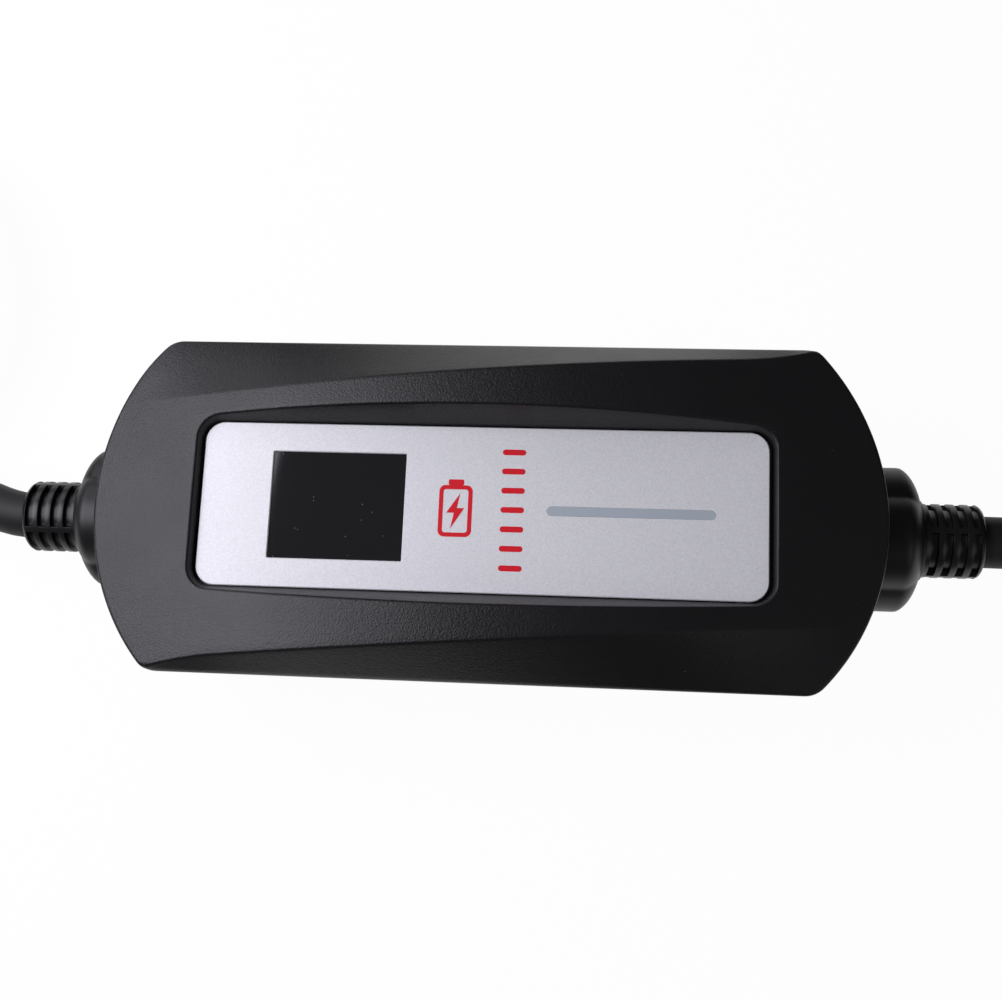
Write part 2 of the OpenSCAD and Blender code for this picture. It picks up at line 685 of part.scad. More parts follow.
module plug_body() color("#1c1c1e") plug_place() difference() {
    lathe([[0, 0], [8.2, 0], [10.5, plug_relief_len], [15, plug_relief_len + 2], [plug_r - 1, plug_relief_len + 7],
        [plug_r, plug_relief_len + 12], [plug_r, plug_face - 1], [plug_r - 1, plug_face], [0, plug_face]]);
    for (i = [0:3]) translate([3 + i * 4.4, 0, 0]) difference() {
        bar(0, 2, plug_r);
        bar(-1, 3, 7.6);
    }
    for (s = [-1, 1]) {
        translate([plug_face - pin_root, s * pin_pitch / 2, 0]) bar(0, pin_root + 1, pin_r + 0.6 + fit);
        translate([plug_face - clip_len, -clip_w / 2 - slack, s > 0 ? plug_r - 2 : -plug_r - 1]) cube([clip_len + 1, clip_w + 2 * slack, 3]);
        translate([plug_face - 16, s > 0 ? plug_r - 2.5 : -plug_r - 1, -3]) cube([17, 3.5, 6]);
    }
}

module plug_pins() color("#c9b46a") plug_place() for (s = [-1, 1]) translate([plug_face, s * pin_pitch / 2, 0]) {
    bar(-pin_root, 0, pin_r + 0.6);
    bar(0, pin_len - pin_tip, pin_r);
    translate([pin_len - pin_tip, 0, 0]) rotate([0, 90, 0]) cylinder(h = pin_tip, r1 = pin_r, r2 = pin_r / 2);
}

module plug_earth_clips() color("#c9b46a") plug_place() for (s = [-1, 1])
    translate([plug_face - clip_len + slack, -clip_w / 2, s > 0 ? plug_r - 2 : 2 - plug_r - clip_t]) cube([clip_len - slack, clip_w, clip_t]);

module vehicle_cord_inlet() color("#19191b") cord(inlet_route, cord_r);

// A ring with round ends, as thick as the turns lie side by side
module hank_ring(r) for (s = [-1, 1]) translate([hank_c[0] + s * hank_run / 2, hank_c[1]]) circle(r);

module hank_band(r) {
    hank_ring(r);
    translate([hank_c[0] - hank_run / 2, hank_c[1] - r]) square([hank_run, 2 * r]);
}

module vehicle_hank() color("#1b1b1d") difference() {
    translate([0, 0, hank_z]) linear_extrude(hank_h) difference() {
        hank_band(hank_r + hank_thick / 2);
        hank_band(hank_r - hank_thick / 2);
    }
    translate([hank_start[0] - notch_len, hank_start[1] - turn_pitch / 2, 0])
        cube([notch_len, turn_pitch + 2 * slack, hank_z + cord_d + 6]);
}

module vehicle_cord_end() color("#19191b") cord(outlet_route, cord_r);

module hank_straps() color("#2a2a2c") for (s = [-1, 1]) translate([hank_c[0], hank_c[1] + s * hank_r, 0])
    strap(strap_w, [-hank_thick / 2 - strap_gap, hank_z], [hank_thick / 2 + strap_gap, hank_top + strap_gap]);

// The vehicle connector lies on the hank's front run with its flat upwards
module connector_place() translate(connector_at) children();

module connector_boot() color("#232325") connector_place() difference() {
    lathe([[0, 0], [9.5, 0], [boot_r, boot_len - 4], [boot_r, boot_len + boot_in], [0, boot_len + boot_in]]);
    for (i = [0:3]) translate([4 + i * 5.5, 0, 0]) difference() {
        bar(0, 2.6, boot_r + 1);
        bar(-1, 4, 8.4);
    }
}

// The handle, which flares to the nose
module handle_form() lathe([[boot_r + fit, boot_len], [collar_r - 1, boot_len], [collar_r, boot_len + 1], [collar_r, boot_len + 14],
    for (i = [0:8]) [collar_r + (handle_r - collar_r) * (1 - cos(22.5 * i)) / 2, boot_len + 14 + 2 * i],
    for (i = [0:10]) [handle_r + (nose_r - handle_r) * (1 - cos(18 * i)) / 2, shell_front - 44 + 3.4 * i],
    [nose_r, shell_front], [mouth_r, shell_front], [mouth_r, shell_front - mouth_depth], [mouth_r - 5, shell_front - mouth_depth - 8],
    [handle_r - 4, shell_front - flare_len], [handle_r - 4, boot_len + boot_in + fit], [boot_r + fit, boot_len + boot_in + fit]]);

module shell_screw_places() {
    for (s = [-1, 1]) translate([boot_len + 7, s * (boot_r + collar_r) / 2, 0]) children();
    for (s = [-1, 1]) translate([shell_front - 6, s * (mouth_r + nose_r) / 2, 0]) children();
}

module connector_shell(up) connector_place() difference() {
    intersection() {
        handle_form();
        translate([0, -nose_r, up ? 0 : -nose_r]) cube([shell_front, 2 * nose_r, nose_r]);
    }
    shell_screw_places() translate([0, 0, -nose_r]) cylinder(h = nose_r + 5, r = shell_screw_r + fit);
}

module connector_lower_shell() color("#1f1f22") connector_shell(false);
module connector_upper_shell() color("#1f1f22") connector_shell(true);

module connector_screws() color("silver") connector_place() shell_screw_places() translate([0, 0, -5]) cylinder(h = 9.5, r = shell_screw_r);

// A bar with a flat along its top
module flat_bar(x0, x1, r, flat) intersection() {
    bar(x0, x1, r);
    translate([x0 - 1, -r, -r]) cube([x1 - x0 + 2, 2 * r, flat + r]);
}

module connector_nose() color("#242427") connector_place() difference() {
    union() {
        flat_bar(shell_front, shell_front + nose_len, nose_r, nose_flat);
        bar(shell_front - mouth_depth + slack, shell_front, mouth_r - fit);
    }
    flat_bar(shell_front + 4, shell_front + nose_len + 1, nose_r - nose_wall, nose_flat - nose_wall);
    bar(shell_front - mouth_depth - 1, shell_front + 5, handle_r - 4);
}

module contact_carrier() color("#2b2b2e") connector_place() difference() {
    flat_bar(shell_front + 4, shell_front + carrier_len - 6, nose_r - nose_wall - slack, nose_flat - nose_wall - slack);
    for (p = contact_places) translate([0, p[0], p[1]]) bar(shell_front + 8, shell_front + carrier_len, p[2] + sleeve_t + 2 * fit);
}

module contacts() color("#c8c8cc") connector_place() for (p = contact_places) translate([shell_front + 8, p[0], p[1]]) difference() {
    bar(0, carrier_len - 18, p[2] + sleeve_t);
    bar(2, carrier_len, p[2] + fit);
}

module connector_cap() color("#202022") connector_place() {
    difference() {
        flat_bar(shell_front + nose_len - cap_len, shell_front + nose_len + slack + cap_wall, nose_r + cap_wall, nose_flat + cap_wall);
        flat_bar(shell_front + nose_len - cap_len - 1, shell_front + nose_len + slack, nose_r + fit, nose_flat + fit);
    }
    translate([shell_front + nose_len - tab_size[0] + 2, -nose_r - tab_size[1], -tab_size[2] / 2]) cube(tab_size);
}

upper_housing();
lower_housing();
housing_seal();
housing_screws();
front_panel();
display_lens();
light_bar();
display_module();
display_board();
status_leds();
display_board_screws();
main_board();
main_board_screws();
power_relays();
power_module();
filter_capacitors();
surge_discs();
current_sensor();
supply_terminals();
vehicle_terminals();
link_cable();
supply_gland_body();
vehicle_gland_body();
supply_gland_seal();
vehicle_gland_seal();
supply_gland_nut();
vehicle_gland_nut();
supply_strain_relief();
vehicle_strain_relief();
supply_tail();
vehicle_tail();
supply_wires();
vehicle_wires();
supply_cord();
supply_tie();
plug_body();
plug_pins();
plug_earth_clips();
vehicle_cord_inlet();
vehicle_hank();
vehicle_cord_end();
hank_straps();
connector_boot();
connector_lower_shell();
connector_upper_shell();
connector_screws();
connector_nose();
contact_carrier();
contacts();
connector_cap();
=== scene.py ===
"""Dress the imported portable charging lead, and light and frame it as in its photograph."""

import json
import logging
import math
from dataclasses import dataclass, field
from enum import Enum
from typing import Any, Callable, Sequence

import bmesh
import bpy
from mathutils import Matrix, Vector


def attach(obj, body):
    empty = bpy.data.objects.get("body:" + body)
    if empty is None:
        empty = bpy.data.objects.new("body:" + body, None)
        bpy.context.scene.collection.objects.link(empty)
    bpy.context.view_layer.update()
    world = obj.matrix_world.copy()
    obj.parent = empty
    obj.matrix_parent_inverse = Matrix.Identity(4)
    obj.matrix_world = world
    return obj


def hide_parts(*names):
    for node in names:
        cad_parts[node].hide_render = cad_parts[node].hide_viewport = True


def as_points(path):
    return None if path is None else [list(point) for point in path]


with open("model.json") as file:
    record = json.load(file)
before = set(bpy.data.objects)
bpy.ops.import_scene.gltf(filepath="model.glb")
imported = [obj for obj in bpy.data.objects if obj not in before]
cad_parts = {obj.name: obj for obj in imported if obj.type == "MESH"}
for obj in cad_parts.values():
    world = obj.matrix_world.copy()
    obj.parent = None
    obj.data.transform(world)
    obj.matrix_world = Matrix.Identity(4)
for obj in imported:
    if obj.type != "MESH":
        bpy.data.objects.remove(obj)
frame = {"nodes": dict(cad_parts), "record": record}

LOG = logging.getLogger("charging_lead")
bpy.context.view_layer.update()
MM = 0.001
PHOTO_WIDTH = 1002
SENSOR_MM = 36.0
WELD_MM = 0.0005
HALVINGS = 36
SHARP_DEG = 35.0

Point = tuple[float, float, float]
Flat = tuple[float, float]
Ring = list[Point]
Face = tuple[int, ...]
Skin = tuple[list[Point], list[Face]]
Piece = bpy.types.Object
Mesh = bmesh.types.BMesh
VertRing = list[bmesh.types.BMVert]
Socket = bpy.types.NodeSocket
Inputs = dict[str | int, Any]


class End(Enum):
    """The two ends of the control box, with the sign of X on each."""

    SUPPLY = -1
    VEHICLE = 1


def ramp(start: float, end: float, count: int) -> list[float]:
    """Spread a count of values evenly, with both ends among them."""
    return [start + (end - start) * i / (count - 1) for i in range(count)]


def full_turn(count: int) -> list[float]:
    """Divide a full turn into angles."""
    return ramp(0.0, 2 * math.pi, count + 1)[:-1]


def smooth_step(value: float) -> float:
    """Ease a value between 0 and 1."""
    value = min(1.0, max(0.0, value))
    return value * value * (3.0 - 2.0 * value)


def fillet(a: Flat, corner: Flat, b: Flat, count: int) -> list[Flat]:
    """Round a corner between two points.

    Args:
        a: Where the rounding starts.
        corner: The sharp corner.
        b: Where the rounding ends.
        count: How many points the rounding has.

    Returns:
        Points on the rounding, both ends among them.
    """
    points = []
    for s in ramp(0.0, 1.0, count):
        wa, wc, wb = (1 - s) ** 2, 2 * s * (1 - s), s * s
        points.append((wa * a[0] + wc * corner[0] + wb * b[0], wa * a[1] + wc * corner[1] + wb * b[1]))
    return points


def reach(inside: Callable[[float], bool], far: float) -> float:
    """Find how far a ray stays inside a form.

    Args:
        inside: Says whether the form holds the point at a distance.
        far: A distance that is outside.

    Returns:
        The distance of the form's edge.
    """
    near = 0.0
    for _ in range(HALVINGS):
        middle = 0.5 * (near + far)
        if inside(middle):
            near = middle
        else:
            far = middle
    return 0.5 * (near + far)


def loft(rings: Sequence[Ring], wrap_rings: bool = False, caps: bool = False) -> Skin:
    """Skin a surface over closed rings that all have as many points.

    Args:
        rings: The rings.
        wrap_rings: Whether the last ring joins the first.
        caps: Whether the first and last rings are filled.

    Returns:
        The skin's points and faces.
    """
    size = len(rings[0])
    points = [p for ring in rings for p in ring]
    faces: list[Face] = []
    last = len(rings) if wrap_rings else len(rings) - 1
    for i in range(last):
        j = (i + 1) % len(rings)
        for k in range(size):
            m = (k + 1) % size
            faces.append((i * size + k, i * size + m, j * size + m, j * size + k))
    if caps:
        faces.append(tuple(reversed(range(size))))
        faces.append(tuple((len(rings) - 1) * size + k for k in range(size)))
    return points, faces


def bridge(mesh: Mesh, rings: Sequence[VertRing]) -> None:
    """Skin rings of an edited mesh, each to the next.

    Args:
        mesh: The edited mesh.
        rings: The rings, in order.
    """
    for a, b in zip(rings, rings[1:]):
        for k in range(len(a)):
            n = (k + 1) % len(a)
            mesh.faces.new((a[k], a[n], b[n], b[k]))


def rim_of(mesh: Mesh, ring: VertRing) -> list[bmesh.types.BMEdge]:
    """Give the edges of a ring of an edited mesh."""
    return [mesh.edges.get(pair) for pair in zip(ring, [*ring[1:], ring[0]])]


def shade(piece: Piece, sharp_deg: float) -> None:
    """Shade a piece smoothly, but for edges that turn more than an angle."""
    piece.data.polygons.foreach_set("use_smooth", [True] * len(piece.data.polygons))
    piece.data.set_sharp_from_angle(angle=math.radians(sharp_deg))


def finish_mesh(name: str, mesh: Mesh, sharp_deg: float = SHARP_DEG) -> Piece:
    """Turn an edited mesh, in millimetres, into a piece at the origin, in metres.

    Args:
        name: The piece's name.
        mesh: The edited mesh, which is freed.
        sharp_deg: Edges that turn more than this stay sharp.

    Returns:
        The piece.
    """
    bmesh.ops.remove_doubles(mesh, verts=mesh.verts, dist=WELD_MM)
    bmesh.ops.recalc_face_normals(mesh, faces=mesh.faces)
    for vert in mesh.verts:
        vert.co *= MM
    data = bpy.data.meshes.new(name)
    mesh.to_mesh(data)
    mesh.free()
    piece = bpy.data.objects.new(name, data)
    shade(piece, sharp_deg)
    bpy.context.scene.collection.objects.link(piece)
    return piece


def make_piece(name: str, skins: Sequence[Skin], sharp_deg: float = SHARP_DEG) -> Piece:
    """Make one piece from closed skins in millimetres.

    Args:
        name: The piece's name.
        skins: The skins.
        sharp_deg: Edges that turn more than this stay sharp.

    Returns:
        The piece.
    """
    mesh = bmesh.new()
    for points, faces in skins:
        verts = [mesh.verts.new(p) for p in points]
        for face in faces:
            mesh.faces.new([verts[i] for i in face])
    return finish_mesh(name, mesh, sharp_deg)


def lathe(profile: Sequence[Flat], sides: int = 64, from_deg: float = 0.0, to_deg: float = 360.0) -> Skin:
    """Turn a closed outline of places along X and radii about X.

    Args:
        profile: Pairs of place and radius, in order round the section.
        sides: Steps round the turn.
        from_deg: Where the turn starts, from +Y towards +Z.
        to_deg: Where it ends.

    Returns:
        The skin.
    """
    full = to_deg - from_deg > 359.9
    steps = sides if full else sides + 1
    rings = []
    for k in range(steps):
        a = math.radians(from_deg + (to_deg - from_deg) * k / sides)
        rings.append([(x, max(r, 0.0) * math.cos(a), max(r, 0.0) * math.sin(a)) for x, r in profile])
    return loft(rings, wrap_rings=full, caps=not full)


def moved(skin: Skin, by: Point, turn: bool = False) -> Skin:
    """Move a skin, after half a turn about Z where asked."""
    sign = -1.0 if turn else 1.0
    return [(sign * x + by[0], sign * y + by[1], z + by[2]) for x, y, z in skin[0]], skin[1]


def box_skin(low: Point, high: Point) -> Skin:
    """Make a box between two corners.

    Args:
        low: The lowest corner.
        high: The highest corner.

    Returns:
        The skin.
    """
    points = [(x, y, z) for z in (low[2], high[2]) for y in (low[1], high[1]) for x in (low[0], high[0])]
    faces = [(0, 2, 3, 1), (4, 5, 7, 6), (0, 1, 5, 4), (2, 6, 7, 3), (0, 4, 6, 2), (1, 3, 7, 5)]
    return points, faces


def round_rectangle(half_x: float, half_y: float, radius: float, steps: int = 8) -> list[Flat]:
    """Outline a rectangle with round corners, anticlockwise.

    Args:
        half_x: Half its length.
        half_y: Half its width.
        radius: The radius of its corners.
        steps: Steps round each corner.

    Returns:
        The outline's points.
    """
    points = []
    for sx, sy, start in ((1, 1, 0), (-1, 1, 90), (-1, -1, 180), (1, -1, 270)):
        for a in ramp(start, start + 90, steps + 1):
            c, s = math.cos(math.radians(a)), math.sin(math.radians(a))
            points.append((sx * (half_x - radius) + radius * c, sy * (half_y - radius) + radius * s))
    return points


def shifted(outline: Sequence[Flat], x: float, y: float) -> list[Flat]:
    """Shift an outline."""
    return [(px + x, py + y) for px, py in outline]


def pierced_plate(
    name: str,
    outer: Callable[[float], list[Flat]],
    holes: Sequence[tuple[Callable[[float], list[Flat]], float]],
    low: float,
    high: float,
    bevel: float,
) -> Piece:
    """Make a flat plate with holes and bevelled upper edges.

    Args:
        name: The piece's name.
        outer: Gives the outline, grown by an amount.
        holes: What gives each hole's outline, grown by an amount, and its bevel.
        low: Height of the underside.
        high: Height of the face.
        bevel: Width of the outer bevel.

    Returns:
        The piece.
    """
    mesh = bmesh.new()
    tops, bottoms = [], []
    for line, cut in [(outer, -bevel), *holes]:
        rows = [(line(cut), high), (line(0.0), high - abs(cut)), (line(0.0), low)]
        rings = [[mesh.verts.new((x, y, z)) for x, y in points] for points, z in rows]
        bridge(mesh, rings)
        tops += rim_of(mesh, rings[0])
        bottoms += rim_of(mesh, rings[-1])
    bmesh.ops.triangle_fill(mesh, use_beauty=True, edges=tops)
    bmesh.ops.triangle_fill(mesh, use_beauty=True, edges=bottoms)
    return finish_mesh(name, mesh, 20.0)


def strap_skin(inner: Sequence[Flat], outer: Sequence[Flat], at: Point, width: float) -> Skin:
    """Wrap a flat strap round a bundle that runs along X.

    Args:
        inner: The strap's inner line in Y and Z.
        outer: Its outer line, with as many points.
        at: The middle of the bundle.
        width: The strap's width.

    Returns:
        The skin.
    """
    section = ((-0.5, 0.0), (0.5, 0.0), (0.5, 0.7), (0.47, 1.0), (-0.47, 1.0), (-0.5, 0.7))
    rings = []
    for (ay, az), (by, bz) in zip(inner, outer):
        ring = []
        for across, deep in section:
            y, z = ay + (by - ay) * deep, az + (bz - az) * deep
            ring.append((at[0] + across * width, at[1] + y, at[2] + z))
        rings.append(ring)
    return loft(rings, wrap_rings=True)


def bake(piece: Piece) -> None:
    """Turn a piece's modifiers into its plain mesh.

    Args:
        piece: The piece.
    """
    graph = bpy.context.evaluated_depsgraph_get()
    data = bpy.data.meshes.new_from_object(piece.evaluated_get(graph))
    piece.modifiers.clear()
    piece.data = data


def carve(piece: Piece, cutter: Piece) -> None:
    """Cut one piece with another, which is then removed.

    Args:
        piece: What is cut.
        cutter: What cuts it.
    """
    cut = piece.modifiers.new("cut", "BOOLEAN")
    cut.operation = "DIFFERENCE"
    cut.solver = "EXACT"
    cut.object = cutter
    bake(piece)
    bpy.data.objects.remove(cutter)
    shade(piece, SHARP_DEG)


def soften(piece: Piece, width_mm: float) -> None:
    """Round a piece's sharp edges and bake the result.

    Args:
        piece: The piece.
        width_mm: Width of the rounding.
    """
    bevel = piece.modifiers.new("soften", "BEVEL")
    bevel.width = width_mm * MM
    bevel.segments = 2
    bevel.limit_method = "ANGLE"
    bevel.angle_limit = math.radians(40.0)
    bake(piece)
    shade(piece, 50.0)


def join(piece: Piece, extras: Sequence[Piece]) -> None:
    """Add the meshes of other pieces to a piece and remove them.

    Args:
        piece: What is added to.
        extras: What is added.
    """
    mesh = bmesh.new()
    mesh.from_mesh(piece.data)
    for extra in extras:
        mesh.from_mesh(extra.data)
        bpy.data.objects.remove(extra)
    mesh.to_mesh(piece.data)
    mesh.free()


def smooth_route(points: Sequence[Point], step: float = 4.0) -> list[Point]:
    """Run a smooth line through points.

    Args:
        points: The points that the line passes, in millimetres.
        step: About how far apart the line's own points are.

    Returns:
        Points on the line.
    """
    line: list[Point] = []
    path = [Vector(p) for p in points]
    for i in range(len(path) - 1):
        a, b = path[i], path[i + 1]
        before = path[i - 1] if i else a + (a - b)
        after = path[i + 2] if i + 2 < len(path) else b + (b - a)
        span = (b - a).length
        start = (b - before) / (span + (a - before).length) * span
        end = (after - a) / ((after - b).length + span) * span
        count = max(1, round(span / step))
        for k in range(count):
            s = k / count
            h0, h1 = 2 * s**3 - 3 * s**2 + 1, s**3 - 2 * s**2 + s
            h2, h3 = -2 * s**3 + 3 * s**2, s**3 - s**2
            line.append(tuple(h0 * a + h1 * start + h2 * b + h3 * end))
    line.append(tuple(path[-1]))
    return line


def tube_skin(line: Sequence[Point], radius: float, sides: int = 18) -> Skin:
    """Sweep a round cord along a line.

    Args:
        line: Points on the centre of the cord.
        radius: The cord's radius.
        sides: Points round it.

    Returns:
        The skin.
    """
    path = [Vector(p) for p in line]
    rings = []
    for i, place in enumerate(path):
        along = (path[min(i + 1, len(path) - 1)] - path[max(i - 1, 0)]).normalized()
        side = along.cross(Vector((0, 0, 1))).normalized()
        up = side.cross(along)
        rings.append(
            [tuple(place + radius * (math.cos(a) * side + math.sin(a) * up)) for a in full_turn(sides)]
        )
    return loft(rings, caps=True)


def length_of(line: Sequence[Point]) -> float:
    """Measure a line in metres."""
    return sum(math.dist(a, b) for a, b in zip(line, line[1:])) * MM


def in_metres(line: Sequence[Point]) -> list[Point]:
    """Turn points from millimetres into metres."""
    return [tuple(MM * v for v in p) for p in line]


@dataclass
class Wiring:
    """Adds nodes to a tree and links them."""

    tree: bpy.types.NodeTree

    def feed(self, node: bpy.types.Node, inputs: Inputs) -> bpy.types.Node:
        """Give a node's inputs a value each, or a socket to link.

        Args:
            node: The node.
            inputs: What each input gets.

        Returns:
            The same node.
        """
        for key, value in inputs.items():
            if isinstance(value, Socket):
                self.tree.links.new(value, node.inputs[key])
            else:
                node.inputs[key].default_value = value
        return node

    def node(self, kind: str, inputs: Inputs | None = None, **settings: Any) -> bpy.types.Node:
        """Add a node.

        Args:
            kind: The node's type.
            inputs: What its inputs get.
            settings: Its own settings.

        Returns:
            The node.
        """
        node = self.tree.nodes.new(kind)
        for name, value in settings.items():
            setattr(node, name, value)
        return self.feed(node, inputs or {})

    def combine(self, operation: str, *values: Socket | float) -> Socket:
        """Add a node that reckons with values, and give its result."""
        return self.node("ShaderNodeMath", dict(enumerate(values)), operation=operation).outputs[0]


class SetOnPoints:
    """A Geometry Nodes tree that sets one shape on every point of a carrier."""

    def __init__(self) -> None:
        """Build the tree with its named inputs."""
        self.tree = bpy.data.node_groups.new("Set on points", "GeometryNodeTree")
        face = self.tree.interface
        face.new_socket("Carrier", in_out="INPUT", socket_type="NodeSocketGeometry")
        self.unit = face.new_socket("Unit", in_out="INPUT", socket_type="NodeSocketObject").identifier
        self.finish = face.new_socket("Finish", in_out="INPUT", socket_type="NodeSocketMaterial").identifier
        face.new_socket("Result", in_out="OUTPUT", socket_type="NodeSocketGeometry")
        wires = Wiring(self.tree)
        start = wires.node("NodeGroupInput").outputs
        unit = wires.node("GeometryNodeObjectInfo", {"Object": start["Unit"]}).outputs["Geometry"]
        place = wires.node("GeometryNodeInstanceOnPoints", {"Points": start["Carrier"], "Instance": unit})
        real = wires.node("GeometryNodeRealizeInstances", {"Geometry": place.outputs["Instances"]})
        dress = wires.node(
            "GeometryNodeSetMaterial", {"Geometry": real.outputs["Geometry"], "Material": start["Finish"]}
        )
        wires.node("NodeGroupOutput", {"Result": dress.outputs["Geometry"]})

    def repeat(
        self, name: str, unit: Piece, places: Sequence[Point], material: bpy.types.Material
    ) -> Piece:
        """Set a shape on places and bake the set into one piece.

        Args:
            name: The piece's name.
            unit: The shape, which is removed afterwards.
            places: Where it is set, in millimetres.
            material: The finish of the set.

        Returns:
            The piece.
        """
        data = bpy.data.meshes.new(name)
        data.from_pydata(in_metres(places), [], [])
        piece = bpy.data.objects.new(name, data)
        bpy.context.scene.collection.objects.link(piece)
        nodes = piece.modifiers.new("set", "NODES")
        nodes.node_group = self.tree
        nodes[self.unit] = unit
        nodes[self.finish] = material
        bake(piece)
        bpy.data.objects.remove(unit)
        return piece


class SurfaceGroups:
    """Shader node groups that several finishes share."""

    def __init__(self) -> None:
        """Build the groups."""
        self.grain = self._grain()
        self.dust = self._dust()

    @staticmethod
    def _group(name: str, inputs: dict[str, float], outputs: Sequence[str]) -> bpy.types.NodeTree:
        """Start a group with named values in and out.

        Args:
            name: The group's name.
            inputs: Its inputs and their values.
            outputs: Its outputs.

        Returns:
            The group's tree.
        """
        tree = bpy.data.node_groups.new(name, "ShaderNodeTree")
        for label, value in inputs.items():
            socket = tree.interface.new_socket(label, in_out="INPUT", socket_type="NodeSocketFloat")
            socket.default_value = value
        for label in outputs:
            tree.interface.new_socket(label, in_out="OUTPUT", socket_type="NodeSocketFloat")
        return tree

    def _grain(self) -> bpy.types.NodeTree:
        """Make the fine spark-eroded grain of moulded plastic.

        Returns:
            The group's tree.
        """
        inputs = {"Grains per metre": 2200.0, "Roughness": 0.5, "Spread": 0.1}
        tree = self._group("Moulded grain", inputs, ["Height", "Roughness", "Tone"])
        wires = Wiring(tree)
        start = wires.node("NodeGroupInput").outputs
        place = wires.node("ShaderNodeTexCoord").outputs["Object"]
        scale = start["Grains per metre"]
        fine = wires.node(
            "ShaderNodeTexNoise", {"Vector": place, "Scale": scale, "Detail": 3.0, "Roughness": 0.6}
        )
        broad = wires.node("ShaderNodeTexNoise", {"Vector": place, "Scale": 45.0, "Detail": 4.0})
        tone = broad.outputs["Fac"]
        shift = wires.combine("SUBTRACT", tone, 0.5)
        sway = wires.combine("MULTIPLY_ADD", shift, start["Spread"], start["Roughness"])
        wires.node("NodeGroupOutput", {"Height": fine.outputs["Fac"], "Roughness": sway, "Tone": tone})
        return tree

    def _dust(self) -> bpy.types.NodeTree:
        """Make a mask of a few pale specks.

        Returns:
            The group's tree.
        """
        tree = self._group("Dust specks", {"Specks per metre": 300.0, "Size": 0.06}, ["Mask"])
        wires = Wiring(tree)
        start = wires.node("NodeGroupInput").outputs
        place = wires.node("ShaderNodeTexCoord").outputs["Object"]
        cells = wires.node("ShaderNodeTexVoronoi", {"Vector": place, "Scale": start["Specks per metre"]})
        rare = wires.node("ShaderNodeTexNoise", {"Vector": place, "Scale": 120.0})
        small = wires.combine("LESS_THAN", cells.outputs["Distance"], start["Size"])
        often = wires.combine("GREATER_THAN", rare.outputs["Fac"], 0.55)
        wires.node("NodeGroupOutput", {"Mask": wires.combine("MULTIPLY", small, often)})
        return tree


MIX_FACTOR, MIX_A, MIX_B, MIX_RESULT = 0, 6, 7, 2
TONE_KEEPS = 0.92
DUST_KEEPS = 0.6
DUST_LIFT = 0.12


@dataclass(frozen=True)
class Finish:
    """One finish: its colour, its gloss, and the grain and dust on it."""

    name: str
    colour: tuple[float, float, float]
    roughness: float = 0.5
    metallic: float = 0.0
    grain_per_m: float = 2200.0
    bump: float = 0.25
    bump_mm: float = 0.02
    spread: float = 0.12
    dust: float = 0.0
    specks_per_m: float = 300.0
    specular: float = 0.5
    fleck: float = 0.0

    def material(self, groups: SurfaceGroups) -> bpy.types.Material:
        """Build the finish as a material.

        Args:
            groups: The shared node groups.

        Returns:
            The material.
        """
        made = bpy.data.materials.new(self.name)
        made.use_nodes = True
        made.diffuse_color = (*self.colour, 1.0)
        wires = Wiring(made.node_tree)
        texture = {"Grains per metre": self.grain_per_m, "Roughness": self.roughness, "Spread": self.spread}
        grain = wires.node("ShaderNodeGroup", texture, node_tree=groups.grain).outputs
        relief = {"Strength": self.bump, "Distance": self.bump_mm * MM, "Height": grain["Height"]}
        bump = wires.node("ShaderNodeBump", relief)
        tone, share = ("Height", 1.0 - self.fleck) if self.fleck else ("Tone", TONE_KEEPS)
        colour = self._blend(wires, (*self.colour, 1.0), grain[tone], share, 0.0)
        if self.dust:
            specks = {"Specks per metre": self.specks_per_m, "Size": self.dust}
            mask = wires.node("ShaderNodeGroup", specks, node_tree=groups.dust).outputs["Mask"]
            colour = self._blend(wires, colour, mask, DUST_KEEPS, DUST_LIFT)
        looks = {"Metallic": self.metallic, "Specular IOR Level": self.specular, "Base Color": colour}
        looks |= {"Roughness": grain["Roughness"], "Normal": bump.outputs["Normal"]}
        wires.feed(made.node_tree.nodes["Principled BSDF"], looks)
        return made

    def _blend(self, wires: Wiring, first: Any, mask: Socket, keeps: float, lift: float) -> Socket:
        """Blend a colour by a mask towards the finish's own, changed.

        Args:
            wires: The material's nodes.
            first: The colour where the mask is nothing.
            mask: What says how far.
            keeps: What the other colour keeps of the finish's own.
            lift: What is added to it.

        Returns:
            The blended colour.
        """
        other = (*[keeps * c + lift for c in self.colour], 1.0)
        inputs = {MIX_FACTOR: mask, MIX_A: first, MIX_B: other}
        return wires.node("ShaderNodeMix", inputs, data_type="RGBA").outputs[MIX_RESULT]


